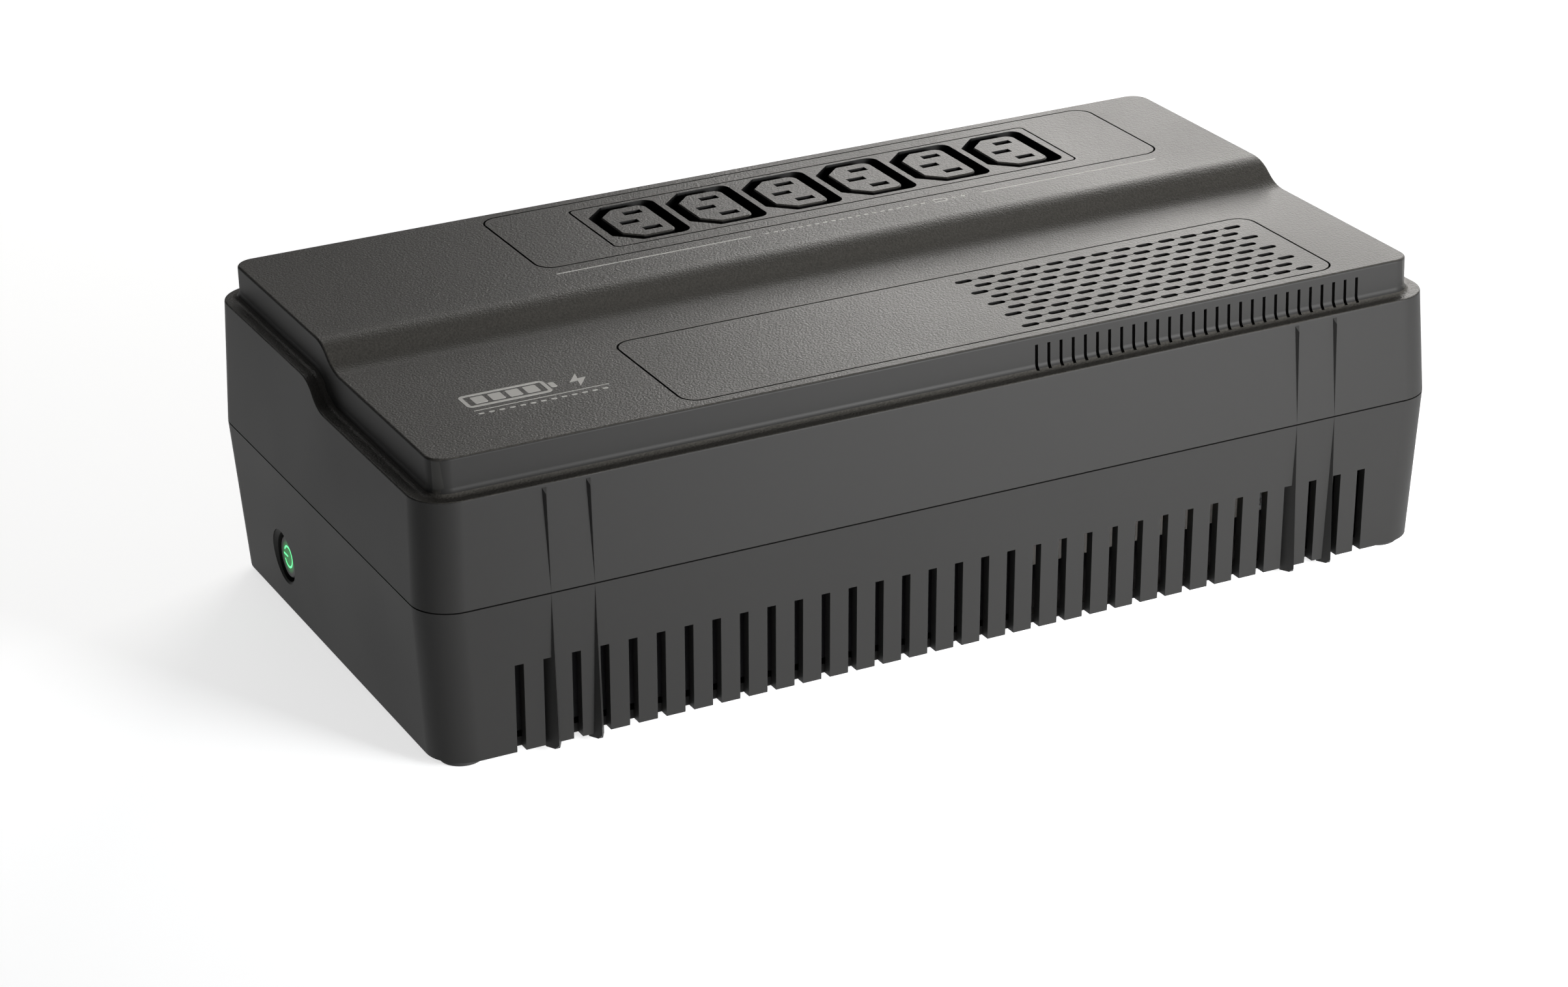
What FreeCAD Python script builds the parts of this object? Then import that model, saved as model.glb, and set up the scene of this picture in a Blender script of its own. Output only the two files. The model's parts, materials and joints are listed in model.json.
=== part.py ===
"""Line-interactive uninterruptible power supply, lying flat on four rubber feet.

Frame: millimetres, +X along the length, +Y to the back, +Z up, origin at the bottom centre.
The case is a base tray and a stepped top cover that meet at a parting line. The high rear tier
carries six female outlets, the low front tier a perforated vent panel. The power button is on
the -X end, the mains inlet and the resettable breaker are on the +X end.
"""
import FreeCAD
import Part
import math
import os

V = FreeCAD.Vector
X_AXIS = V(1, 0, 0)
Y_AXIS = V(0, 1, 0)
Z_AXIS = V(0, 0, 1)

# ---- overall case ------------------------------------------------------------------------
LENGTH = 305.0
WIDTH = 160.0
TOP_HIGH_Z = 92.1
TOP_LOW_Z = 86.3
LEDGE_HIGH_Z = 82.6
LEDGE_LOW_Z = 76.3
PARTING_Z = 46.3
FOOT_HEIGHT = 2.4
BASE_Z = FOOT_HEIGHT
BASE_DRAW_X = 2.5
BASE_DRAW_Y = 2.5
COVER_DRAW = 1.2
CASE_CORNER_R = 11.0
PARTING_GAP = 0.2
BASE_WALL = 2.85
BASE_FLOOR = 2.6
COVER_WALL = 2.5
LIP_WALL = 1.2
LIP_RISE = 2.5
LIP_CLEARANCE = 0.3

# ---- raised platform and its step --------------------------------------------------------
PLATFORM_HALF_X = 146.35
PLATFORM_HALF_Y = 74.3
PLATFORM_CORNER_R = 5.5
STEP_BACK_Y = 7.9
STEP_FRONT_Y = -8.3
PLATFORM_EDGE_R = 0.7
SHOULDER_EDGE_R = 0.5
LEDGE_COVE_R = 2.2

# ---- inlaid panels on top ----------------------------------------------------------------
PANEL_THICKNESS = 1.6
PANEL_GAP = 0.6
PANEL_SEAT = 2.5
PANEL_CORNER_R = 5.0
OUTLET_PANEL = (-73.5, 123.9, 24.5, 70.1)
OUTLET_STRIP = (-48.4, 99.0, 30.7, 64.1)
STRIP_CORNER_R = 1.5
VENT_PANEL = (-73.8, 123.7, -70.2, -22.9)
VENT_WINDOW = (24.0, 120.5, -68.0, -26.5)

# ---- outlets -----------------------------------------------------------------------------
OUTLET_COUNT = 6
OUTLET_PITCH = 24.09
OUTLET_MID_X = 25.4
OUTLET_Y = 47.7
GROOVE_X = 22.2
GROOVE_Y = 30.2
GROOVE_CHAMFER = 6.8
GROOVE_CORNER_R = 3.2
TONGUE_X = 15.2
TONGUE_Y = 24.2
TONGUE_CHAMFER = 4.8
TONGUE_CORNER_R = 3.0
TONGUE_RECESS = 0.05
TONGUE_EDGE = 0.35
SOCKET_DEPTH = 18.0
BLOCK_DEPTH = 27.6
BLOCK_FLANGE = 1.5
CONTACT_SPREAD = 7.0
CONTACT_OFFSET = 2.0
BLADE_SLOT_X = 5.6
BLADE_SLOT_Y = 2.7
CHAMBER_X = 6.2
CHAMBER_Y = 4.0
CHAMBER_ROOF = 1.5

# ---- vents -------------------------------------------------------------------------------
PERF_ROWS = 9
PERF_FIRST_Y = -28.6
PERF_PITCH_Y = 4.71
PERF_FIRST_X = 29.5
PERF_PITCH_X = 7.21
PERF_COUNT = 13
PERF_LENGTH = 5.2
PERF_WIDTH = 2.1
PERF_LINE = 0.35
SIDE_VENT_COUNT = 28
SIDE_VENT_FIRST_X = 26.85
SIDE_VENT_PITCH = 3.746
SIDE_VENT_WIDTH = 0.92
SIDE_VENT_DROP = 2.5
BASE_VENT_COUNT = 33
BASE_VENT_FIRST_X = -127.7
BASE_VENT_PITCH = 8.0
BASE_VENT_WIDTH = 2.54
BASE_VENT_TOP_Z = 27.8
BASE_VENT_DEPTH_Y = 74.3

# ---- ridges on the front that the case can stand on --------------------------------------
RIDGE_XS = (-118.2, -106.0, 106.0, 118.2)
RIDGE_FLARE = 0.55
RIDGE_ROOT_Y = 76.0
RIDGE_TOP_Z = 75.9
RIDGE_BOTTOM_Z = 1.3

# ---- feet, case screws, wall keyholes ----------------------------------------------------
FOOT_R = 6.0
FOOT_EDGE_R = 0.7
FOOT_X = 141.0
FOOT_Y = 68.5
SCREW_X = 139.0
SCREW_Y = 52.0
BOSS_R = 4.4
BOSS_TOP_Z = 30.0
BOSS_WEB_Z = 24.0
COUNTERBORE_R = 3.2
CLEARANCE_R = 1.9
PILOT_R = 1.4
KEYHOLE_X = 100.0
KEYHOLE_Y = 48.0
KEYHOLE_R = 4.5
KEYHOLE_SLOT_R = 2.2
KEYHOLE_SLOT_REACH = 8.0

# ---- power button on the -X end ----------------------------------------------------------
BUTTON_Y = 35.3
BUTTON_Z = 17.9
BUTTON_R = 6.1
BUTTON_HOLE_R = 7.1
BUTTON_DISH_R = 8.3
BUTTON_DISH_DEPTH = 0.9
BUTTON_FACE_X = -149.6
BUTTON_FLANGE_R = 8.1
BUTTON_FLANGE_X = -147.2
BUTTON_TAIL_X = -143.0
BUTTON_TRAVEL = 1.2
SYMBOL_R = 3.3
SYMBOL_LINE = 0.6
SYMBOL_GAP = 2.7
SYMBOL_DEPTH = 0.8

# ---- inlet and breaker on the +X end -----------------------------------------------------
END_PAD_X = 149.4
END_PAD_THICKNESS = 2.8
END_Z = 24.0
INLET_Y = 20.0
INLET_FLANGE = (50.0, 22.6)
INLET_BODY = (31.0, 22.6)
INLET_CAVITY = (27.0, 19.4)
INLET_CHAMFER = 5.0
INLET_DEPTH = 16.5
INLET_BACK_X = 128.0
INLET_SCREW_SPREAD = 20.0
FLANGE_THICKNESS = 1.8
BREAKER_Y = -24.0
BREAKER_BUSH_R = 5.0
BREAKER_BUTTON_R = 3.1
BREAKER_NUT_FLATS = 14.0

# ---- battery -----------------------------------------------------------------------------
BATTERY_SIZE = (151.0, 94.0, 65.0)
BATTERY_X0 = -131.0
BATTERY_Y0 = -73.2
BATTERY_Z0 = 6.2
BATTERY_WALL = 2.5
BATTERY_LID = 6.0
CELL_COUNT = 6
CELL_PACK = (20.5, 72.0, 32.0)
TERMINAL_X = 11.0
TERMINAL_ZS = (28.0, 57.0)

# ---- main board --------------------------------------------------------------------------
BOARD = (-122.0, 30.0, 27.5, 72.0)
BOARD_Z = 12.0
BOARD_THICKNESS = 1.6
BOARD_TOP_Z = BOARD_Z + BOARD_THICKNESS
BOARD_INSET = 5.0
BOARD_POST_R = 3.2
RELAY_XS = (-42.0, -21.0, 0.0)
RELAY_LENGTH = 19.0
LEAD_R = 1.3
OUTLET_LEAD_X = -65.0
OUTLET_LEAD_Z = 48.0

# ---- transformer -------------------------------------------------------------------------
CORE_X = (36.0, 112.0)
CORE_Z = (8.0, 71.5)
CORE_Y = (-52.0, -12.0)
CORE_LIMB = 12.7
WINDING_REACH = 12.0
BOBBIN_WALL = 1.4
FRAME_SHEET = 1.5

FLOOR_Z = BASE_Z + BASE_FLOOR
TRIM_HEIGHT = 140.0


# ---- helpers -----------------------------------------------------------------------------
def box(x0, x1, y0, y1, z0, z1):
    """Solid block between two corners."""
    return Part.makeBox(x1 - x0, y1 - y0, z1 - z0, V(x0, y0, z0))


def rod(radius, x, y, z, axis, length):
    """Solid cylinder from a start point along an axis."""
    return Part.makeCylinder(radius, length, V(x, y, z), axis)


def rounded_wire(x0, x1, y0, y1, radius, z):
    """Closed rounded rectangle at height z."""
    turn = radius * (1 - math.sqrt(0.5))
    corners = [(x1, y1, -1, -1), (x0, y1, 1, -1), (x0, y0, 1, 1), (x1, y0, -1, 1)]
    edges = []
    last = None
    first = None
    for index, (cx, cy, sx, sy) in enumerate(corners):
        on_y_side = V(cx, cy + sy * radius, z)
        on_x_side = V(cx + sx * radius, cy, z)
        middle = V(cx + sx * turn, cy + sy * turn, z)
        start, end = (on_y_side, on_x_side) if index % 2 == 0 else (on_x_side, on_y_side)
        if last is not None:
            edges.append(Part.LineSegment(last, start).toShape())
        else:
            first = start
        edges.append(Part.Arc(start, middle, end).toShape())
        last = end
    edges.append(Part.LineSegment(last, first).toShape())
    return Part.Wire(edges)


def slab(outline, radius, z0, z1, grow=0.0):
    """Rounded plate from an (x0, x1, y0, y1) outline, grown or shrunk evenly."""
    x0, x1, y0, y1 = outline
    wire = rounded_wire(x0 - grow, x1 + grow, y0 - grow, y1 + grow, radius + grow, z0)
    return Part.Face(wire).extrude(V(0, 0, z1 - z0))


def drafted(half_x0, half_y0, z0, half_x1, half_y1, z1, radius):
    """Rounded block whose sides lean evenly between two heights."""
    low = rounded_wire(-half_x0, half_x0, -half_y0, half_y0, radius, z0)
    high = rounded_wire(-half_x1, half_x1, -half_y1, half_y1, radius, z1)
    return Part.makeLoft([low, high], True, True)


def prism(points, direction):
    """Straight-sided solid from a closed list of points."""
    wire = Part.makePolygon(points + [points[0]])
    return Part.Face(wire).extrude(direction)


def stepped_mass(z_high, z_low):
    """Everything under the stepped surface: two tangent arcs join the two levels."""
    run = STEP_BACK_Y - STEP_FRONT_Y
    rise = z_high - z_low
    angle = 2 * math.atan2(rise, run)
    radius = run / (2 * math.sin(angle))
    middle = V(0, (STEP_BACK_Y + STEP_FRONT_Y) / 2, (z_high + z_low) / 2)
    back = V(0, STEP_BACK_Y, z_high)
    front = V(0, STEP_FRONT_Y, z_low)
    bow_y = radius * math.sin(angle / 2)
    bow_z = radius * (1 - math.cos(angle / 2))
    back_bow = V(0, STEP_BACK_Y - bow_y, z_high - bow_z)
    front_bow = V(0, STEP_FRONT_Y + bow_y, z_low + bow_z)
    far_back = V(0, WIDTH, z_high)
    far_front = V(0, -WIDTH, z_low)
    under_front = V(0, -WIDTH, 0)
    under_back = V(0, WIDTH, 0)
    edges = [
        Part.LineSegment(far_back, back).toShape(),
        Part.Arc(back, back_bow, middle).toShape(),
        Part.Arc(middle, front_bow, front).toShape(),
        Part.LineSegment(front, far_front).toShape(),
        Part.LineSegment(far_front, under_front).toShape(),
        Part.LineSegment(under_front, under_back).toShape(),
        Part.LineSegment(under_back, far_back).toShape(),
    ]
    face = Part.Face(Part.Wire(edges))
    face.translate(V(-LENGTH, 0, 0))
    return face.extrude(V(2 * LENGTH, 0, 0))


def upper_edges(solid, z_level):
    """Edges of the surface that lies above a level, without the lower rim."""
    top = [face for face in solid.Faces if face.normalAt(0, 0).z > 0.5]
    counts = {}
    for face in top:
        for edge in face.Edges:
            counts.setdefault(edge.hashCode(), []).append(edge)
    return [group[0] for group in counts.values() if len(group) == 1 and group[0].CenterOfMass.z > z_level]


def cove_edges(blank):
    """Inner edges where the platform's sides stand on the ledge."""
    edges = []
    for edge in blank.Edges:
        middle = edge.CenterOfMass
        low_enough = edge.BoundBox.ZMax < LEDGE_HIGH_Z + 0.3
        high_enough = edge.BoundBox.ZMin > LEDGE_LOW_Z - 0.3
        from_x = PLATFORM_HALF_X - abs(middle.x)
        from_y = PLATFORM_HALF_Y - abs(middle.y)
        beside_platform = -0.1 < min(from_x, from_y) < 3
        if low_enough and high_enough and beside_platform:
            edges.append(edge)
    return edges


def obround(x, y, length, width, z0, z1):
    """Round-ended slot cutter along X."""
    half = length / 2 - 0.001
    return slab((x - half, x + half, y - width / 2, y + width / 2), width / 2 - 0.001, z0, z1)


def socket_outline(size_x, size_y, chamfer, corner_r, cx, cy, z0, z1):
    """Six-sided outlet outline: two corners cut on the earth (-X) side, two rounded."""
    hx = size_x / 2
    hy = size_y / 2
    points = [V(cx + hx, cy - hy, z0), V(cx + hx, cy + hy, z0), V(cx - hx + chamfer, cy + hy, z0),
              V(cx - hx, cy + hy - chamfer, z0), V(cx - hx, cy - hy + chamfer, z0),
              V(cx - hx + chamfer, cy - hy, z0)]
    solid = prism(points, V(0, 0, z1 - z0))
    for radius, side in ((corner_r, 1), (corner_r / 3, -1)):
        upright = [edge for edge in solid.Edges if abs(edge.tangentAt(edge.FirstParameter).z) > 0.9
                   and edge.BoundBox.ZLength > abs(z1 - z0) - 0.01
                   and (edge.CenterOfMass.x - cx) * side > (hx - 0.5 if side > 0 else 0)]
        solid = solid.makeFillet(radius, upright)
    return solid


def bent_tube(points, radius, bend):
    """Round lead along straight runs joined by tangent arcs."""
    edges = []
    last = points[0]
    for before, corner, after in zip(points, points[1:], points[2:]):
        into = (corner - before).normalize()
        out = (after - corner).normalize()
        half_turn = into.getAngle(out) / 2
        setback = bend * math.tan(half_turn)
        start = corner - into * setback
        end = corner + out * setback
        inward = (out - into).normalize()
        centre = corner + inward * (bend / math.cos(half_turn))
        middle = centre - inward * bend
        edges.append(Part.LineSegment(last, start).toShape())
        edges.append(Part.Arc(start, middle, end).toShape())
        last = end
    edges.append(Part.LineSegment(last, points[-1]).toShape())
    path = Part.Wire(edges)
    heading = (points[1] - points[0]).normalize()
    ring = Part.Wire(Part.Circle(points[0], heading, radius).toShape())
    return path.makePipeShell([ring], True, False)


def four_corners(x, y):
    """The four mirror positions of a point."""
    return [(sx * x, sy * y) for sx in (-1, 1) for sy in (-1, 1)]


def outlet_centres():
    """X of each outlet, left to right."""
    return [OUTLET_MID_X + (i - (OUTLET_COUNT - 1) / 2) * OUTLET_PITCH for i in range(OUTLET_COUNT)]


def contact_spots(centre_x):
    """Live, earth and neutral contact positions of one outlet."""
    return [(centre_x + CONTACT_OFFSET, OUTLET_Y + CONTACT_SPREAD),
            (centre_x - CONTACT_OFFSET, OUTLET_Y),
            (centre_x + CONTACT_OFFSET, OUTLET_Y - CONTACT_SPREAD)]


# ---- case --------------------------------------------------------------------------------
def ridges(profile):
    """Vertical V-ridges on the front, trimmed to a side profile of (y, z) points."""
    flare = (WIDTH / 2 - RIDGE_ROOT_Y) * RIDGE_FLARE
    trim = prism([V(-LENGTH, y, z) for y, z in profile], V(2 * LENGTH, 0, 0))
    pieces = []
    for x in RIDGE_XS:
        section = [V(x - flare, -RIDGE_ROOT_Y, 0), V(x, -WIDTH / 2, 0), V(x + flare, -RIDGE_ROOT_Y, 0)]
        pieces.append(prism(section, V(0, 0, TRIM_HEIGHT)).common(trim))
    return pieces


def base_half(z):
    """Outer half length and half width of the base tray at a height."""
    share = (PARTING_Z - z) / (PARTING_Z - BASE_Z)
    return LENGTH / 2 - BASE_DRAW_X * share, WIDTH / 2 - BASE_DRAW_Y * share


def base_tray():
    """Lower shell with vents, bosses, board posts, keyholes and the end-wall pads."""
    top_z = PARTING_Z - PARTING_GAP
    bottom = base_half(BASE_Z)
    rim = base_half(top_z)
    tray = drafted(*bottom, BASE_Z, *rim, top_z, CASE_CORNER_R)
    floor = base_half(FLOOR_Z)
    inner_r = CASE_CORNER_R - BASE_WALL
    hollow_floor = (floor[0] - BASE_WALL, floor[1] - BASE_WALL)
    hollow_rim = (rim[0] - BASE_WALL, rim[1] - BASE_WALL)
    tray = tray.cut(drafted(*hollow_floor, FLOOR_Z, *hollow_rim, top_z, inner_r))

    lip_x = LENGTH / 2 - COVER_WALL - LIP_CLEARANCE
    lip_y = WIDTH / 2 - COVER_WALL - LIP_CLEARANCE
    lip_outline = (-lip_x, lip_x, -lip_y, lip_y)
    lip = slab(lip_outline, inner_r, top_z - LIP_RISE, top_z + LIP_RISE)
    lip = lip.cut(slab(lip_outline, inner_r, top_z - LIP_RISE, top_z + LIP_RISE, -LIP_WALL))

    additions = [lip]
    for x, y in four_corners(SCREW_X, SCREW_Y):
        additions.append(rod(BOSS_R, x, y, BASE_Z, Z_AXIS, BOSS_TOP_Z - BASE_Z))
    for x, y in board_posts():
        additions.append(rod(BOARD_POST_R, x, y, BASE_Z, Z_AXIS, BOARD_Z - BASE_Z))
    for x, y in transformer_screw_spots():
        additions.append(rod(BOARD_POST_R, x, y, BASE_Z, Z_AXIS, CORE_Z[0] - FRAME_SHEET - BASE_Z))
    stop_y = BATTERY_Y0 + BATTERY_SIZE[1]
    stop_x = BATTERY_X0 + BATTERY_SIZE[0]
    additions.append(box(BATTERY_X0, TERMINAL_X - 20, stop_y + 0.4, stop_y + 2.4, BASE_Z, 17))
    additions.append(box(stop_x + 0.4, stop_x + 2.4, BATTERY_Y0, stop_y, BASE_Z, 30))
    pad_x0 = END_PAD_X - END_PAD_THICKNESS
    for y, half in ((INLET_Y, INLET_FLANGE[0] / 2 + 2), (BREAKER_Y, BREAKER_NUT_FLATS)):
        additions.append(box(pad_x0, END_PAD_X + 1, y - half, y + half, END_Z - 14, END_Z + 14))
    tray = tray.multiFuse(additions)

    cuts = []
    for i in range(BASE_VENT_COUNT):
        x = BASE_VENT_FIRST_X + i * BASE_VENT_PITCH
        half = BASE_VENT_WIDTH / 2
        for y0, y1 in ((-WIDTH, -BASE_VENT_DEPTH_Y), (BASE_VENT_DEPTH_Y, WIDTH)):
            cuts.append(box(x - half, x + half, y0, y1, 0, BASE_VENT_TOP_Z))
    for x, y in four_corners(SCREW_X, SCREW_Y):
        cuts.append(rod(COUNTERBORE_R, x, y, 0, Z_AXIS, BOSS_WEB_Z))
        cuts.append(rod(CLEARANCE_R, x, y, 0, Z_AXIS, BOSS_TOP_Z + 1))
    for x, y in board_posts():
        cuts.append(rod(PILOT_R, x, y, FLOOR_Z, Z_AXIS, BOARD_Z))
    for x, y in transformer_screw_spots():
        cuts.append(rod(PILOT_R, x, y, BASE_Z + 1, Z_AXIS, BOARD_Z))
    for side in (-1, 1):
        x = side * KEYHOLE_X
        cuts.append(rod(KEYHOLE_R, x, KEYHOLE_Y, 0, Z_AXIS, FLOOR_Z + 1))
        cuts.append(box(x - KEYHOLE_SLOT_R, x + KEYHOLE_SLOT_R, KEYHOLE_Y, KEYHOLE_Y + KEYHOLE_SLOT_REACH,
                        0, FLOOR_Z + 1))
        cuts.append(rod(KEYHOLE_SLOT_R, x, KEYHOLE_Y + KEYHOLE_SLOT_REACH, 0, Z_AXIS, FLOOR_Z + 1))
    for x0, (width, height), gap in ((END_PAD_X, INLET_FLANGE, 0.4), (pad_x0 - 1, INLET_BODY, 0.3)):
        half_y = width / 2 + gap
        half_z = height / 2 + gap
        cuts.append(box(x0, LENGTH, INLET_Y - half_y, INLET_Y + half_y, END_Z - half_z, END_Z + half_z))
    for side in (-1, 1):
        cuts.append(rod(PILOT_R, pad_x0 - 1, INLET_Y + side * INLET_SCREW_SPREAD, END_Z, X_AXIS, 6))
    cuts.append(rod(BREAKER_NUT_FLATS / 2 + 3, END_PAD_X, BREAKER_Y, END_Z, X_AXIS, 6))
    cuts.append(rod(BREAKER_BUSH_R + 0.1, pad_x0 - 1, BREAKER_Y, END_Z, X_AXIS, 9))
    wall_x = -base_half(BUTTON_Z)[0]
    cuts.append(rod(BUTTON_HOLE_R, wall_x - 3, BUTTON_Y, BUTTON_Z, X_AXIS, 8))
    cuts.append(Part.makeCone(BUTTON_DISH_R, BUTTON_HOLE_R, BUTTON_DISH_DEPTH,
                              V(wall_x, BUTTON_Y, BUTTON_Z), X_AXIS))
    cuts.append(rod(BUTTON_DISH_R, wall_x - 2, BUTTON_Y, BUTTON_Z, X_AXIS, 2))
    tray = tray.cut(Part.makeCompound(cuts))
    side = [(-WIDTH / 2, top_z), (-WIDTH / 2, RIDGE_BOTTOM_Z + 1.4), (-WIDTH / 2 + 1.3, RIDGE_BOTTOM_Z),
            (-RIDGE_ROOT_Y, RIDGE_BOTTOM_Z), (-RIDGE_ROOT_Y, top_z)]
    return tray.multiFuse(ridges(side)).removeSplitter()


def cover_blank(inset, drop):
    """Solid under the cover's outer surface, or the room inside it, before any opening."""
    low_z = PARTING_Z + PARTING_GAP if inset == 0 else PARTING_Z - 1
    lean = COVER_DRAW / (LEDGE_LOW_Z - PARTING_Z)

    def half(z):
        share = lean * (z - PARTING_Z)
        return LENGTH / 2 - share - inset, WIDTH / 2 - share - inset

    high_z = LEDGE_HIGH_Z + 4
    skirt = drafted(*half(low_z), low_z, *half(high_z), high_z, CASE_CORNER_R - inset)
    skirt = skirt.common(stepped_mass(LEDGE_HIGH_Z - drop, LEDGE_LOW_Z - drop))
    hx = PLATFORM_HALF_X - inset
    hy = PLATFORM_HALF_Y - inset
    outline = (-hx, hx, -hy, hy)
    platform = slab(outline, PLATFORM_CORNER_R - inset, LEDGE_LOW_Z - 10, TOP_HIGH_Z + 4)
    platform = platform.common(stepped_mass(TOP_HIGH_Z - drop, TOP_LOW_Z - drop))
    if inset == 0:
        skirt = skirt.makeFillet(SHOULDER_EDGE_R, upper_edges(skirt, LEDGE_LOW_Z - 1))
        platform = platform.makeFillet(PLATFORM_EDGE_R, upper_edges(platform, TOP_LOW_Z - 1))
    blank = skirt.fuse(platform)
    if inset == 0:
        blank = blank.makeFillet(LEDGE_COVE_R, cove_edges(blank))
    return blank


def top_cover():
    """Upper shell with seats for both inlaid panels, side vents and screw posts."""
    cover = cover_blank(0, 0).cut(cover_blank(COVER_WALL, COVER_WALL))
    posts = []
    for x, y in four_corners(SCREW_X, SCREW_Y):
        roof_z = (TOP_HIGH_Z if y > 0 else TOP_LOW_Z) - COVER_WALL / 2
        post = rod(BOSS_R, x, y, BOSS_TOP_Z, Z_AXIS, roof_z - BOSS_TOP_Z)
        posts.append(post.cut(rod(PILOT_R, x, y, BOSS_TOP_Z, Z_AXIS, 16)))
    for outline, roof_z in ((OUTLET_PANEL, TOP_HIGH_Z), (VENT_PANEL, TOP_LOW_Z)):
        frame = slab(outline, PANEL_CORNER_R, roof_z - COVER_WALL - 1, roof_z - 1, PANEL_GAP + 1)
        posts.append(frame.common(box(-LENGTH, LENGTH, -PLATFORM_HALF_Y, PLATFORM_HALF_Y, 0, TOP_HIGH_Z)))
    cover = cover.multiFuse(posts)

    cuts = []
    for outline, roof_z in ((OUTLET_PANEL, TOP_HIGH_Z), (VENT_PANEL, TOP_LOW_Z)):
        cuts.append(slab(outline, PANEL_CORNER_R, roof_z - PANEL_THICKNESS, roof_z + 2, PANEL_GAP))
    cuts.append(slab(OUTLET_PANEL, PANEL_CORNER_R, TOP_HIGH_Z - 8, TOP_HIGH_Z, -PANEL_SEAT))
    cuts.append(slab(VENT_WINDOW, 2, TOP_LOW_Z - 8, TOP_LOW_Z))
    for i in range(SIDE_VENT_COUNT):
        x = SIDE_VENT_FIRST_X + i * SIDE_VENT_PITCH
        half = SIDE_VENT_WIDTH / 2
        cuts.append(box(x - half, x + half, -PLATFORM_HALF_Y - 1, -PLATFORM_HALF_Y + COVER_WALL + 0.5,
                        LEDGE_LOW_Z + 0.2, TOP_LOW_Z - SIDE_VENT_DROP))
    cover = cover.cut(Part.makeCompound(cuts))
    low_z = PARTING_Z + PARTING_GAP
    side = [(-WIDTH / 2, low_z), (-WIDTH / 2, RIDGE_TOP_Z - 2.2), (-WIDTH / 2 + 1.6, RIDGE_TOP_Z),
            (-WIDTH / 2 + 2.4, RIDGE_TOP_Z), (-WIDTH / 2 + 2.4, low_z)]
    return cover.multiFuse(ridges(side)).removeSplitter()


def outlet_panel():
    """Inlaid plate around the outlet strip."""
    z0 = TOP_HIGH_Z - PANEL_THICKNESS
    plate = slab(OUTLET_PANEL, PANEL_CORNER_R, z0, TOP_HIGH_Z)
    return plate.cut(slab(OUTLET_STRIP, STRIP_CORNER_R, z0 - 1, TOP_HIGH_Z + 1, PANEL_GAP))


def vent_panel():
    """Inlaid plate with rows of long holes, each row joined by a fine groove."""
    z0 = TOP_LOW_Z - PANEL_THICKNESS
    plate = slab(VENT_PANEL, PANEL_CORNER_R, z0, TOP_LOW_Z)
    cuts = []
    for row in range(PERF_ROWS):
        y = PERF_FIRST_Y - row * PERF_PITCH_Y
        shift = (row % 2) * PERF_PITCH_X / 2
        count = PERF_COUNT - row % 2
        for column in range(count):
            x = PERF_FIRST_X + shift + column * PERF_PITCH_X
            cuts.append(obround(x, y, PERF_LENGTH, PERF_WIDTH, z0 - 1, TOP_LOW_Z + 1))
        first = PERF_FIRST_X + shift
        last = first + (count - 1) * PERF_PITCH_X
        half = PERF_LINE / 2
        cuts.append(box(first, last, y - half, y + half, TOP_LOW_Z - PERF_LINE, TOP_LOW_Z + 1))
    return plate.cut(Part.makeCompound(cuts))


# ---- outlets -----------------------------------------------------------------------------
def outlet_block():
    """Moulded strip with six plug wells and the contact chambers under them."""
    top_z = TOP_HIGH_Z
    block = slab(OUTLET_STRIP, STRIP_CORNER_R, top_z - BLOCK_DEPTH, top_z)
    flange_top = top_z - PANEL_THICKNESS
    flange_z = flange_top - BLOCK_FLANGE
    block = block.fuse(slab(OUTLET_STRIP, STRIP_CORNER_R, flange_z, flange_top, BLOCK_FLANGE))
    cuts = []
    for x in outlet_centres():
        cuts.append(socket_outline(GROOVE_X, GROOVE_Y, GROOVE_CHAMFER, GROOVE_CORNER_R, x, OUTLET_Y,
                                   top_z - SOCKET_DEPTH, top_z + 1))
        for cx, cy in contact_spots(x):
            cuts.append(box(cx - CHAMBER_X / 2, cx + CHAMBER_X / 2, cy - CHAMBER_Y / 2, cy + CHAMBER_Y / 2,
                            top_z - BLOCK_DEPTH - 1, top_z - SOCKET_DEPTH + 1))
    return block.cut(Part.makeCompound(cuts))


def outlet_core(x):
    """Tongue of one outlet with its three blade slots."""
    face_z = TOP_HIGH_Z - TONGUE_RECESS
    foot_z = TOP_HIGH_Z - SOCKET_DEPTH
    tongue = socket_outline(TONGUE_X, TONGUE_Y, TONGUE_CHAMFER, TONGUE_CORNER_R, x, OUTLET_Y, foot_z, face_z)
    rim = [edge for edge in tongue.Edges if edge.BoundBox.ZMin > face_z - 0.1]
    tongue = tongue.makeChamfer(TONGUE_EDGE, rim)
    cuts = []
    for cx, cy in contact_spots(x):
        cuts.append(box(cx - BLADE_SLOT_X / 2, cx + BLADE_SLOT_X / 2, cy - BLADE_SLOT_Y / 2,
                        cy + BLADE_SLOT_Y / 2, foot_z, face_z + 1))
        cuts.append(box(cx - CHAMBER_X / 2, cx + CHAMBER_X / 2, cy - CHAMBER_Y / 2, cy + CHAMBER_Y / 2,
                        foot_z - 1, face_z - CHAMBER_ROOF))
    return tongue.cut(Part.makeCompound(cuts))


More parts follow.
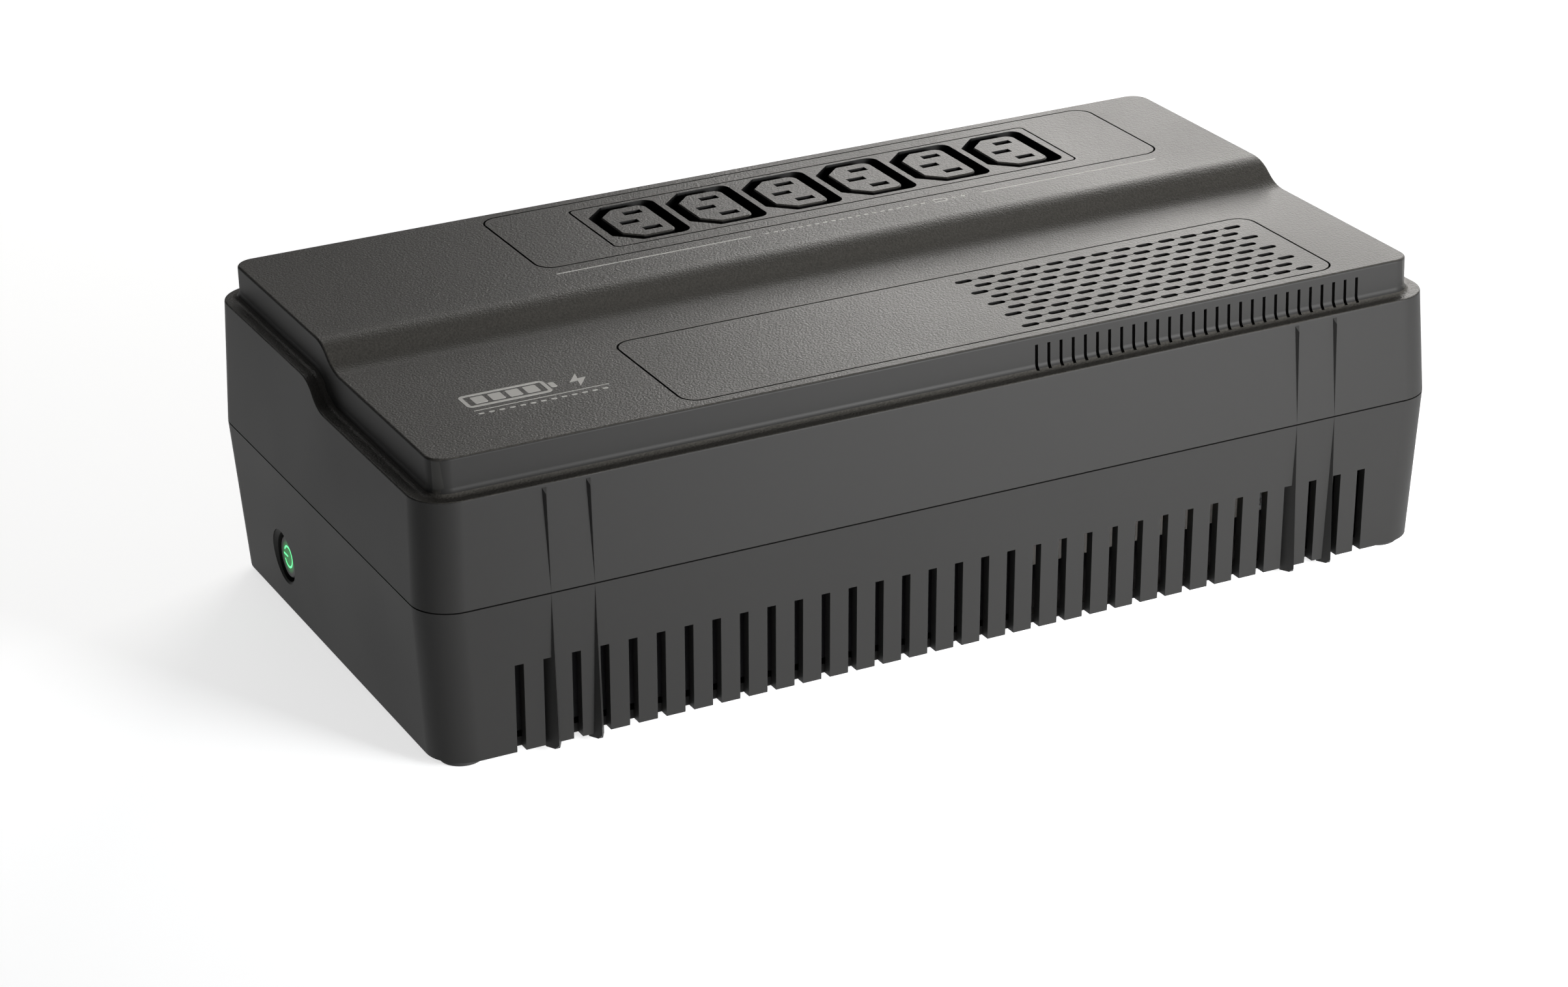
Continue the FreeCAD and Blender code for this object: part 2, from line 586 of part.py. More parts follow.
def outlet_contacts():
    """Spring contacts: two leaves on a web with a tail down to the bus bar."""
    contacts = []
    leaf_top = TOP_HIGH_Z - TONGUE_RECESS - CHAMBER_ROOF - 2
    web_z = TOP_HIGH_Z - BLOCK_DEPTH + 1.5
    for x in outlet_centres():
        for cx, cy in contact_spots(x):
            leaves = [box(cx - 2.5, cx + 2.5, cy + y0, cy + y1, web_z, leaf_top)
                      for y0, y1 in ((-1.6, -1.1), (1.1, 1.6))]
            web = box(cx - 2.5, cx + 2.5, cy - 1.6, cy + 1.6, web_z, web_z + 1.2)
            tail = box(cx - 0.8, cx + 0.8, cy - 0.8, cy + 0.8, bus_bar_z() + 1.2, web_z)
            contacts.append(web.multiFuse(leaves + [tail]).removeSplitter())
    return Part.makeCompound(contacts)


def bus_bar_z():
    """Underside of the bus bars, just below the outlet block."""
    return TOP_HIGH_Z - BLOCK_DEPTH - 3.0


def bus_bar(side):
    """One bar that links the same contact of every outlet."""
    offset_x = -CONTACT_OFFSET if side == 0 else CONTACT_OFFSET
    y = OUTLET_Y + side * CONTACT_SPREAD
    xs = outlet_centres()
    return box(xs[0] + offset_x - 6, xs[-1] + offset_x + 4, y - 2, y + 2, bus_bar_z(), bus_bar_z() + 1.2)


def outlet_leads():
    """Three leads from the main board up to the bus bars."""
    leads = []
    for side in (-1, 0, 1):
        y = OUTLET_Y + side * CONTACT_SPREAD
        top_x = outlet_centres()[0] - 4 + (-CONTACT_OFFSET if side == 0 else CONTACT_OFFSET)
        points = [V(OUTLET_LEAD_X, y, BOARD_TOP_Z), V(OUTLET_LEAD_X, y, OUTLET_LEAD_Z),
                  V(top_x, y, OUTLET_LEAD_Z + 5), V(top_x, y, bus_bar_z())]
        leads.append(bent_tube(points, LEAD_R, 3.0))
    return Part.makeCompound(leads)


# ---- battery -----------------------------------------------------------------------------
def battery_case():
    """Open battery jar with six cells."""
    sx, sy, sz = BATTERY_SIZE
    jar = box(BATTERY_X0, BATTERY_X0 + sx, BATTERY_Y0, BATTERY_Y0 + sy - BATTERY_LID,
              BATTERY_Z0, BATTERY_Z0 + sz)
    jar = jar.makeFillet(1.5, [edge for edge in jar.Edges if edge.BoundBox.YLength > 50])
    cell = (sx - BATTERY_WALL * (CELL_COUNT + 1)) / CELL_COUNT
    cuts = []
    for i in range(CELL_COUNT):
        x = BATTERY_X0 + BATTERY_WALL + i * (cell + BATTERY_WALL)
        cuts.append(box(x, x + cell, BATTERY_Y0 + BATTERY_WALL, BATTERY_Y0 + sy, BATTERY_Z0 + BATTERY_WALL,
                        BATTERY_Z0 + sz - BATTERY_WALL))
    return jar.cut(Part.makeCompound(cuts))


def battery_lid():
    """Lid of the jar; it faces the back of the case and carries the terminals."""
    sx, sy, sz = BATTERY_SIZE
    y1 = BATTERY_Y0 + sy
    lid = box(BATTERY_X0, BATTERY_X0 + sx, y1 - BATTERY_LID, y1, BATTERY_Z0, BATTERY_Z0 + sz)
    return lid.makeFillet(1.5, [edge for edge in lid.Edges if edge.BoundBox.YLength > 5])


def battery_plates():
    """Stack of plates in each cell."""
    sx, sy, sz = BATTERY_SIZE
    cell = (sx - BATTERY_WALL * (CELL_COUNT + 1)) / CELL_COUNT
    px, py, pz = CELL_PACK
    packs = []
    for i in range(CELL_COUNT):
        x = BATTERY_X0 + BATTERY_WALL + i * (cell + BATTERY_WALL) + (cell - px) / 2
        y = BATTERY_Y0 + BATTERY_WALL
        z = BATTERY_Z0 + (sz - pz) / 2
        packs.append(box(x, x + px, y, y + py, z, z + pz))
    return Part.makeCompound(packs)


def battery_terminals():
    """Two flat tabs on the lid."""
    y = BATTERY_Y0 + BATTERY_SIZE[1]
    return Part.makeCompound([box(TERMINAL_X - 3.2, TERMINAL_X + 3.2, y, y + 5, z - 0.4, z + 0.4)
                              for z in TERMINAL_ZS])


def battery_lead(z, landing_x):
    """Lead from a battery tab down to the main board."""
    y = BATTERY_Y0 + BATTERY_SIZE[1] + 5
    points = [V(TERMINAL_X, y, z), V(TERMINAL_X, y + 10, z), V(landing_x, y + 12, z - 2),
              V(landing_x, y + 12, BOARD_TOP_Z)]
    return bent_tube(points, 1.7, 1.9)


# ---- main board --------------------------------------------------------------------------
def board_posts():
    """Positions of the four screws that hold the main board."""
    x0, x1, y0, y1 = BOARD
    inset = BOARD_INSET
    return [(x, y) for x in (x0 + inset, x1 - inset) for y in (y0 + inset, y1 - inset)]


def main_board():
    """Printed circuit board with its screw holes."""
    x0, x1, y0, y1 = BOARD
    board = box(x0, x1, y0, y1, BOARD_Z, BOARD_TOP_Z)
    return board.cut(Part.makeCompound([rod(1.6, x, y, BOARD_Z - 1, Z_AXIS, 4) for x, y in board_posts()]))


def heatsink():
    """Comb heatsink of the inverter."""
    x0, x1, y0 = -62.0, -6.0, 30.0
    fins = [box(x0 + i * 5.5, x0 + i * 5.5 + 1.5, y0 + 3, y0 + 12, BOARD_TOP_Z, 44) for i in range(11)]
    return box(x0, x1 + 0.5, y0, y0 + 3, BOARD_TOP_Z, 44).multiFuse(fins).removeSplitter()


def power_transistors():
    """Four tab transistors against the heatsink's flat side."""
    return Part.makeCompound([box(x - 5, x + 5, 26.2, 30.0, 20, 36) for x in (-54, -41, -28, -15)])


def capacitors():
    """Three filter capacitors."""
    spots = ((-104, 60, 8, 28), (-86, 60, 8, 28), (-71, 63, 5, 18))
    return Part.makeCompound([rod(r, x, y, BOARD_TOP_Z, Z_AXIS, h) for x, y, r, h in spots])


def relays():
    """Three transfer relays."""
    return Part.makeCompound([box(x, x + RELAY_LENGTH, 50, 65, BOARD_TOP_Z, BOARD_TOP_Z + 16)
                              for x in RELAY_XS])


def board_fuse():
    """Glass fuse between two end caps."""
    glass = rod(2.3, -112, 33 + 3, BOARD_TOP_Z + 4, X_AXIS, 20)
    caps = [box(x, x + 5, 32.5, 39.5, BOARD_TOP_Z, BOARD_TOP_Z + 7.5) for x in (-114, -95)]
    return glass.multiFuse(caps).removeSplitter()


def board_connectors():
    """Two plug headers on the board."""
    return Part.makeCompound([box(14, 22, 40, 48, BOARD_TOP_Z, BOARD_TOP_Z + 9),
                              box(-88, -76, 31, 37, BOARD_TOP_Z, BOARD_TOP_Z + 8)])


def control_chip():
    """Controller in a flat package."""
    return box(-60, -46, 54, 68, BOARD_TOP_Z, BOARD_TOP_Z + 1.6)


def buzzer():
    """Alarm sounder with its sound hole."""
    drum = rod(6, -84, 45, BOARD_TOP_Z, Z_AXIS, 9)
    return drum.cut(rod(1.2, -84, 45, BOARD_TOP_Z + 6, Z_AXIS, 4))


def screw(x, y, head_z, head_r, head_height, shank_r, length, axis=Z_AXIS):
    """Pan-head screw whose shank runs along the axis from the head's face."""
    head = rod(head_r, x, y, head_z - head_height, axis, head_height)
    return head.fuse(rod(shank_r, x, y, head_z, axis, length))


def downward_screw(x, y, seat_z, head_r, shank_r, length):
    """Pan-head screw driven down onto a seat."""
    return rod(head_r, x, y, seat_z, Z_AXIS, 1.8).fuse(rod(shank_r, x, y, seat_z - length, Z_AXIS, length))


# ---- transformer -------------------------------------------------------------------------
def transformer_core():
    """Laminated E-I core: outer frame with a centre limb."""
    x0, x1 = CORE_X
    z0, z1 = CORE_Z
    y0, y1 = CORE_Y
    middle = (x0 + x1) / 2
    core = box(x0, x1, y0, y1, z0, z1)
    windows = [box(x0 + CORE_LIMB, middle - CORE_LIMB, y0 - 1, y1 + 1, z0 + CORE_LIMB, z1 - CORE_LIMB),
               box(middle + CORE_LIMB, x1 - CORE_LIMB, y0 - 1, y1 + 1, z0 + CORE_LIMB, z1 - CORE_LIMB)]
    return core.cut(Part.makeCompound(windows))


def coil_ring(inner, outer, z0, z1):
    """Rectangular ring around the centre limb, grown by an inner and an outer margin."""
    middle = (CORE_X[0] + CORE_X[1]) / 2
    rings = []
    for grow in (outer, inner):
        rings.append(box(middle - CORE_LIMB - grow, middle + CORE_LIMB + grow, CORE_Y[0] - grow,
                         CORE_Y[1] + grow, z0, z1))
    return rings[0].cut(rings[1])


def transformer_bobbin():
    """Insulating former with a cheek at each end."""
    z0 = CORE_Z[0] + CORE_LIMB + 0.2
    z1 = CORE_Z[1] - CORE_LIMB - 0.2
    sleeve = coil_ring(0.2, 0.2 + BOBBIN_WALL, z0, z1)
    reach = WINDING_REACH
    cheeks = [coil_ring(0.2, reach, z0, z0 + BOBBIN_WALL), coil_ring(0.2, reach, z1 - BOBBIN_WALL, z1)]
    return sleeve.multiFuse(cheeks).removeSplitter()


def transformer_winding():
    """Wound copper between the cheeks, wrapped in tape."""
    z0 = CORE_Z[0] + CORE_LIMB + 0.2 + BOBBIN_WALL
    z1 = CORE_Z[1] - CORE_LIMB - 0.2 - BOBBIN_WALL
    return coil_ring(0.2 + BOBBIN_WALL, WINDING_REACH - 1, z0, z1)


def transformer_screw_spots():
    """Four screws through the feet of the clamp."""
    return [(x, y) for x in (CORE_X[0] - 7, CORE_X[1] + 7) for y in (CORE_Y[0] + 10, CORE_Y[1] - 10)]


def transformer_frame():
    """Bent steel clamp over the core with two feet."""
    x0, x1 = CORE_X
    y0, y1 = CORE_Y[0] + 4, CORE_Y[1] - 4
    z0, z1 = CORE_Z
    sheet = FRAME_SHEET
    pieces = [box(x0 - sheet, x0, y0, y1, z0 - sheet, z1 + sheet),
              box(x1, x1 + sheet, y0, y1, z0 - sheet, z1 + sheet),
              box(x0 - sheet, x1 + sheet, y0, y1, z1, z1 + sheet),
              box(x0 - 12, x0, y0, y1, z0 - sheet, z0), box(x1, x1 + 12, y0, y1, z0 - sheet, z0)]
    frame = pieces[0].multiFuse(pieces[1:]).removeSplitter()
    return frame.cut(Part.makeCompound([rod(1.7, x, y, 0, Z_AXIS, 20) for x, y in transformer_screw_spots()]))


# ---- power button ------------------------------------------------------------------------
def symbol_solid(x0, x1):
    """Standby symbol lying on its side: an open ring and a bar that points to the back."""
    ring = rod(SYMBOL_R, x0, BUTTON_Y, BUTTON_Z, X_AXIS, x1 - x0)
    ring = ring.cut(rod(SYMBOL_R - SYMBOL_LINE, x0 - 1, BUTTON_Y, BUTTON_Z, X_AXIS, x1 - x0 + 2))
    gap = SYMBOL_GAP / 2
    ring = ring.cut(box(x0 - 1, x1 + 1, BUTTON_Y, BUTTON_Y + 5, BUTTON_Z - gap, BUTTON_Z + gap))
    half = SYMBOL_LINE / 2
    bar = box(x0, x1, BUTTON_Y + half, BUTTON_Y + SYMBOL_R + half, BUTTON_Z - half, BUTTON_Z + half)
    return ring, bar


def power_button():
    """Button cap with a retaining flange and a stem."""
    cap = rod(BUTTON_R, BUTTON_FACE_X, BUTTON_Y, BUTTON_Z, X_AXIS, BUTTON_TAIL_X - BUTTON_FACE_X)
    rim = [edge for edge in cap.Edges if abs(edge.CenterOfMass.x - BUTTON_FACE_X) < 0.01]
    cap = cap.makeFillet(0.6, rim)
    cap = cap.fuse(rod(BUTTON_FLANGE_R, BUTTON_FLANGE_X, BUTTON_Y, BUTTON_Z, X_AXIS, 1.4))
    return cap.cut(Part.makeCompound(list(symbol_solid(BUTTON_FACE_X - 1, BUTTON_FACE_X + SYMBOL_DEPTH))))


def power_lens():
    """Clear symbol pressed into the cap."""
    return Part.makeCompound(list(symbol_solid(BUTTON_FACE_X, BUTTON_FACE_X + SYMBOL_DEPTH)))


def switch_plunger():
    """Plunger of the switch, touching the button's stem."""
    half = 1.5
    x0 = BUTTON_TAIL_X
    return box(x0, x0 + 6, BUTTON_Y - half, BUTTON_Y + half, BUTTON_Z - half, BUTTON_Z + half)


def switch_housing():
    """Switch body with the plunger's bore."""
    x0 = BUTTON_TAIL_X + 3
    body = box(x0, x0 + 9, BUTTON_Y - 4, BUTTON_Y + 4, BUTTON_Z - 4, BUTTON_Z + 4)
    return body.cut(box(x0 - 1, x0 + 3 + BUTTON_TRAVEL + 0.6, BUTTON_Y - 1.6, BUTTON_Y + 1.6,
                        BUTTON_Z - 1.6, BUTTON_Z + 1.6))


def button_board():
    """Small upright board behind the switch, standing on the tray floor."""
    x0 = BUTTON_TAIL_X + 12
    return box(x0, x0 + 1.6, BUTTON_Y - 9, BUTTON_Y + 9, FLOOR_Z, BUTTON_Z + 10)


def status_led():
    """Lamp beside the switch that lights the symbol."""
    x1 = BUTTON_TAIL_X + 12
    return rod(1.5, x1 - 9, BUTTON_Y, BUTTON_Z + 6.2, X_AXIS, 9)


# ---- inlet and breaker -------------------------------------------------------------------
def inlet_housing():
    """Recessed appliance inlet with a flange and a chamfered well."""
    width, height = INLET_FLANGE
    flange = box(END_PAD_X, END_PAD_X + FLANGE_THICKNESS, INLET_Y - width / 2, INLET_Y + width / 2,
                 END_Z - height / 2, END_Z + height / 2)
    upright = [edge for edge in flange.Edges if edge.BoundBox.XLength > 1]
    flange = flange.makeFillet(3.0, upright)
    body = box(INLET_BACK_X, END_PAD_X, INLET_Y - INLET_BODY[0] / 2, INLET_Y + INLET_BODY[0] / 2,
               END_Z - INLET_BODY[1] / 2, END_Z + INLET_BODY[1] / 2)
    hy = INLET_CAVITY[0] / 2
    hz = INLET_CAVITY[1] / 2
    cut = INLET_CHAMFER
    mouth_x = END_PAD_X + FLANGE_THICKNESS
    points = [V(mouth_x - INLET_DEPTH, INLET_Y + y, END_Z + z) for y, z in (
        (-hy, -hz), (hy, -hz), (hy, hz - cut), (hy - cut, hz), (-hy + cut, hz), (-hy, hz - cut))]
    cuts = [prism(points, V(INLET_DEPTH + 1, 0, 0))]
    for y, z in inlet_pin_spots():
        cuts.append(box(INLET_BACK_X - 1, mouth_x, y - 1, y + 1, z - 2, z + 2))
    for side in (-1, 1):
        cuts.append(rod(1.7, END_PAD_X - 1, INLET_Y + side * INLET_SCREW_SPREAD, END_Z, X_AXIS, 6))
    return flange.fuse(body).cut(Part.makeCompound(cuts))


def inlet_pin_spots():
    """Line, earth and neutral pin positions in the well."""
    return [(INLET_Y - CONTACT_SPREAD, END_Z - CONTACT_OFFSET), (INLET_Y, END_Z + CONTACT_OFFSET),
            (INLET_Y + CONTACT_SPREAD, END_Z - CONTACT_OFFSET)]


def inlet_pins():
    """Three flat pins that stand in the well and end in solder tags."""
    tip_x = END_PAD_X + FLANGE_THICKNESS - 3
    return Part.makeCompound([box(INLET_BACK_X - 7, tip_x, y - 1, y + 1, z - 2, z + 2)
                              for y, z in inlet_pin_spots()])


def inlet_screws():
    """Two screws through the inlet's flange."""
    outer_x = END_PAD_X + FLANGE_THICKNESS
    screws = []
    for side in (-1, 1):
        y = INLET_Y + side * INLET_SCREW_SPREAD
        head = Part.makeSphere(2.6, V(outer_x - 1.9, y, END_Z)).common(
            box(outer_x, outer_x + 2, y - 4, y + 4, END_Z - 4, END_Z + 4))
        shank = rod(PILOT_R - 0.05, outer_x - 5, y, END_Z, X_AXIS, 5)
        cross = box(outer_x + 0.3, outer_x + 2, y - 1.3, y + 1.3, END_Z - 0.3, END_Z + 0.3)
        screws.append(head.fuse(shank).cut(cross))
    return Part.makeCompound(screws)


def mains_leads():
    """Two leads from the inlet's tags back to the main board."""
    start_x = INLET_BACK_X - 7
    leads = []
    for (y, z), landing_y, turn_x in ((inlet_pin_spots()[0], 46, 60), (inlet_pin_spots()[2], 56, 66)):
        points = [V(start_x, y, z), V(start_x - 16, y, z), V(turn_x, landing_y, 30), V(26, landing_y, 30),
                  V(26, landing_y, BOARD_TOP_Z)]
        leads.append(bent_tube(points, LEAD_R, 4.0))
    return Part.makeCompound(leads)


def breaker_body():
    """Breaker with its threaded bush through the end wall."""
    inner_x = END_PAD_X - END_PAD_THICKNESS
    case = box(inner_x - 26, inner_x, BREAKER_Y - 8, BREAKER_Y + 8, END_Z - 8, END_Z + 8)
    bush = rod(BREAKER_BUSH_R, inner_x, BREAKER_Y, END_Z, X_AXIS, END_PAD_THICKNESS + 2.4)
    bore = rod(BREAKER_BUTTON_R + 0.15, inner_x - 8, BREAKER_Y, END_Z, X_AXIS, 20)
    return case.fuse(bush).cut(bore)


def breaker_nut():
    """Six-sided ring nut on the bush."""
    outer_r = BREAKER_NUT_FLATS / 2 / math.cos(math.pi / 6)
    corners = [i * math.pi / 3 for i in range(6)]
    points = [V(END_PAD_X, BREAKER_Y + outer_r * math.cos(turn), END_Z + outer_r * math.sin(turn))
              for turn in corners]
    nut = prism(points, V(1.8, 0, 0))
    return nut.cut(rod(BREAKER_BUSH_R + 0.05, END_PAD_X - 1, BREAKER_Y, END_Z, X_AXIS, 4))


def breaker_button():
    """Reset button that springs out when the breaker trips."""
    start_x = END_PAD_X - END_PAD_THICKNESS - 6
    button = rod(BREAKER_BUTTON_R, start_x, BREAKER_Y, END_Z, X_AXIS, LENGTH / 2 - 0.2 - start_x)
    rim = [edge for edge in button.Edges if edge.CenterOfMass.x > LENGTH / 2 - 0.3]
    return button.makeFillet(0.5, rim)


# ---- feet, screws, label -----------------------------------------------------------------
def foot(x, y):
    """Round rubber foot with a softened rim."""
    pad = rod(FOOT_R, x, y, 0, Z_AXIS, FOOT_HEIGHT)
    rim = [edge for edge in pad.Edges if edge.CenterOfMass.z < 0.01 and len(edge.Vertexes) == 1]
    return pad.makeFillet(FOOT_EDGE_R, rim)


def case_screws():
    """Four long screws driven up through the bosses into the cover's posts."""
    screws = []
    for x, y in four_corners(SCREW_X, SCREW_Y):
        body = screw(x, y, BOSS_WEB_Z, COUNTERBORE_R - 0.3, 2.4, PILOT_R - 0.05, 18)
        slots = [box(x - 1.6, x + 1.6, y - 0.4, y + 0.4, BOSS_WEB_Z - 3, BOSS_WEB_Z - 1.2),
                 box(x - 0.4, x + 0.4, y - 1.6, y + 1.6, BOSS_WEB_Z - 3, BOSS_WEB_Z - 1.2)]
        screws.append(body.cut(Part.makeCompound(slots)))
    return Part.makeCompound(screws)


def all_nodes():
    """Every sub-part by its name."""
    nodes = {
        "top_cover": top_cover(),
        "base_tray": base_tray(),
        "outlet_panel": outlet_panel(),
        "vent_panel": vent_panel(),
        "outlet_block": outlet_block(),
        "outlet_contacts": outlet_contacts(),
        "live_bus_bar": bus_bar(1),
        "earth_bus_bar": bus_bar(0),
        "neutral_bus_bar": bus_bar(-1),
        "outlet_leads": outlet_leads(),
        "battery_case": battery_case(),
        "battery_lid": battery_lid(),
        "battery_plates": battery_plates(),
        "battery_terminals": battery_terminals(),
        "battery_lead_red": battery_lead(TERMINAL_ZS[1], TERMINAL_X + 9),
        "battery_lead_black": battery_lead(TERMINAL_ZS[0], TERMINAL_X - 8),
        "main_board": main_board(),
        "heatsink": heatsink(),
        "power_transistors": power_transistors(),
        "capacitors": capacitors(),
        "relays": relays(),
        "board_fuse": board_fuse(),
        "board_connectors": board_connectors(),
        "control_chip": control_chip(),
        "buzzer": buzzer(),
        "transformer_core": transformer_core(),
        "transformer_bobbin": transformer_bobbin(),
        "transformer_winding": transformer_winding(),
        "transformer_frame": transformer_frame(),
        "power_button": power_button(),
        "power_lens": power_lens(),
        "switch_plunger": switch_plunger(),
        "switch_housing": switch_housing(),
        "button_board": button_board(),
        "status_led": status_led(),
        "inlet_housing": inlet_housing(),
        "inlet_pins": inlet_pins(),
        "inlet_screws": inlet_screws(),
        "mains_leads": mains_leads(),
        "breaker_body": breaker_body(),
        "breaker_nut": breaker_nut(),
        "breaker_button": breaker_button(),
        "case_screws": case_screws(),
    }
    for index, x in enumerate(outlet_centres(), start=1):
        nodes["outlet_core_%d" % index] = outlet_core(x)
    foot_names = ("front_left", "back_left", "front_right", "back_right")
    for (x, y), name in zip(four_corners(FOOT_X, FOOT_Y), foot_names):
        nodes["foot_" + name] = foot(x, y)
    nodes["board_screws"] = Part.makeCompound(
        [downward_screw(x, y, BOARD_TOP_Z, 2.6, PILOT_R - 0.05, 7) for x, y in board_posts()])
    nodes["transformer_screws"] = Part.makeCompound(
        [downward_screw(x, y, CORE_Z[0], 2.6, PILOT_R - 0.05, 4.2) for x, y in transformer_screw_spots()])
    nodes["battery_floor_pad"] = box(BATTERY_X0 + 8, BATTERY_X0 + 143, BATTERY_Y0 + 10, BATTERY_Y0 + 84,
                                     FLOOR_Z, BATTERY_Z0)
    nodes["battery_hold_pad"] = box(BATTERY_X0 + 25, BATTERY_X0 + 105, -62, -32,
                                    BATTERY_Z0 + BATTERY_SIZE[2], TOP_LOW_Z - COVER_WALL - 1)
    return nodes


os.makedirs("parts", exist_ok=True)
for node_name, node_shape in all_nodes().items():
    node_shape.exportStep("parts/%s.step" % node_name)
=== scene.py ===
import json
import logging
import math
from dataclasses import dataclass
from enum import Enum
from typing import Callable, Iterable, Optional, Sequence, Union

import bmesh
import bpy
from mathutils import Matrix, Vector


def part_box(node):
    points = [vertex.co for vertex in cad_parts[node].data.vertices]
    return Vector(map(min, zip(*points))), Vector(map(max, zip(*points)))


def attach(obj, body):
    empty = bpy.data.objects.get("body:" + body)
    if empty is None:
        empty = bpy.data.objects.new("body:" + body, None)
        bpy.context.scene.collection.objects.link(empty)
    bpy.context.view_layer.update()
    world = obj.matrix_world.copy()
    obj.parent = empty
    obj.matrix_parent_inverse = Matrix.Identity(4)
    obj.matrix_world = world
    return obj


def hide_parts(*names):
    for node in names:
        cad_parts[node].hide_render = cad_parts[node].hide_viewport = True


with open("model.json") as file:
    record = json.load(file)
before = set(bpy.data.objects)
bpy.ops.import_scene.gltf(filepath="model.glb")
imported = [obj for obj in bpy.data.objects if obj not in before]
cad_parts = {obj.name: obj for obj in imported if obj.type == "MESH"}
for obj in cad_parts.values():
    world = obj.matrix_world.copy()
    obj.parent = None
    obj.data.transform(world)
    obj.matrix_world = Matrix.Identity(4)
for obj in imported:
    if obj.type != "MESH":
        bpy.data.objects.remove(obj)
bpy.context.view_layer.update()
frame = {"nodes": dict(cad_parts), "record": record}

LOG = logging.getLogger("power_supply")
MM = 0.001
Colour = tuple[float, float, float]
Tone = Union[Colour, bpy.types.NodeSocket]
Sizes = tuple[float, ...]
CASE_BODY = "case"
BUTTON_BODY = "power_button"
BREAKER_BODY = "breaker_button"


# ---- finishes ----------------------------------------------------------------------------
class Grain(Enum):
    """Where a moulded surface carries its spark texture."""

    NONE = "none"
    UPWARD = "upward"
    ALL_OVER = "all_over"


class NodeBench:
    """Short ways to add and link shader nodes in one material.

    The MIX values are the sockets of a Mix node in its colour mode, where socket names repeat.
    Noise lies mostly between NOISE_LOW and NOISE_HIGH. A surface counts as upright while its
    normal's height is below UPRIGHT_Z, and as level above LEVEL_Z.
    """

    MIX_FACTOR, MIX_DARK, MIX_LIGHT, MIX_RESULT = 0, 6, 7, 2
    NOISE_LOW, NOISE_HIGH = 0.3, 0.7
    UPRIGHT_Z, LEVEL_Z = 0.25, 0.75

    def __init__(self, name: str) -> None:
        """Start a material with a Principled shader.

        Args:
            name: Name of the material.
        """
        self.material = bpy.data.materials.new(name)
        self.material.use_nodes = True
        self.tree = self.material.node_tree
        self.tree.nodes.clear()
        self.shader = self.tree.nodes.new("ShaderNodeBsdfPrincipled")
        output = self.tree.nodes.new("ShaderNodeOutputMaterial")
        self.tree.links.new(self.shader.outputs["BSDF"], output.inputs["Surface"])
        self.coordinates = self.tree.nodes.new("ShaderNodeTexCoord").outputs["Object"]

    def set(self, socket: str, value: object) -> None:
        """Give the shader's own socket a constant."""
        self.shader.inputs[socket].default_value = value

    def link(self, source: bpy.types.NodeSocket, socket: str) -> None:
        """Feed the shader's socket from a node."""
        self.tree.links.new(source, self.shader.inputs[socket])

    def noise(self, scale: float, detail: float = 2.0,
              stretch: Optional[Sequence[float]] = None) -> bpy.types.NodeSocket:
        """Noise on object coordinates.

        Args:
            scale: Cells per metre.
            detail: Octaves of the noise.
            stretch: Scale of the coordinates on each axis, for a drawn or brushed look.

        Returns:
            The noise's value socket.
        """
        node = self.tree.nodes.new("ShaderNodeTexNoise")
        node.inputs["Scale"].default_value = scale
        node.inputs["Detail"].default_value = detail
        source = self.coordinates
        if stretch is not None:
            mapping = self.tree.nodes.new("ShaderNodeMapping")
            mapping.inputs["Scale"].default_value = stretch
            self.tree.links.new(source, mapping.inputs["Vector"])
            source = mapping.outputs["Vector"]
        self.tree.links.new(source, node.inputs["Vector"])
        return node.outputs["Fac"]

    def spread(self, source: bpy.types.NodeSocket, low: float, high: float,
               start: float = NOISE_LOW, end: float = NOISE_HIGH) -> bpy.types.NodeSocket:
        """Map a 0-1 value to a range.

        Args:
            source: Socket to read.
            low: Output at start.
            high: Output at end.
            start: Input that gives low.
            end: Input that gives high.

        Returns:
            The mapped value socket.
        """
        node = self.tree.nodes.new("ShaderNodeMapRange")
        limits = {"From Min": start, "From Max": end, "To Min": low, "To Max": high}
        for socket, value in limits.items():
            node.inputs[socket].default_value = value
        self.tree.links.new(source, node.inputs["Value"])
        return node.outputs["Result"]

    def multiply(self, first: bpy.types.NodeSocket,
                 second: bpy.types.NodeSocket) -> bpy.types.NodeSocket:
        """Product of two value sockets."""
        node = self.tree.nodes.new("ShaderNodeMath")
        node.operation = "MULTIPLY"
        self.tree.links.new(first, node.inputs[0])
        self.tree.links.new(second, node.inputs[1])
        return node.outputs["Value"]

    def tint(self, factor: bpy.types.NodeSocket, dark: Tone,
             light: Tone) -> bpy.types.NodeSocket:
        """Colour between two tones, driven by a factor.

        Args:
            factor: Socket from 0 to 1.
            dark: Colour or colour socket at 0.
            light: Colour or colour socket at 1.

        Returns:
            The mixed colour socket.
        """
        node = self.tree.nodes.new("ShaderNodeMix")
        node.data_type = "RGBA"
        for index, tone in ((self.MIX_DARK, dark), (self.MIX_LIGHT, light)):
            if isinstance(tone, bpy.types.NodeSocket):
                self.tree.links.new(tone, node.inputs[index])
            else:
                node.inputs[index].default_value = (*tone, 1.0)
        self.tree.links.new(factor, node.inputs[self.MIX_FACTOR])
        return node.outputs[self.MIX_RESULT]

    def upward(self) -> bpy.types.NodeSocket:
        """1 where the surface faces up, 0 where it stands upright."""
        geometry = self.tree.nodes.new("ShaderNodeNewGeometry")
        split = self.tree.nodes.new("ShaderNodeSeparateXYZ")
        self.tree.links.new(geometry.outputs["Normal"], split.inputs["Vector"])
        return self.spread(split.outputs["Z"], 0.0, 1.0, self.UPRIGHT_Z, self.LEVEL_Z)

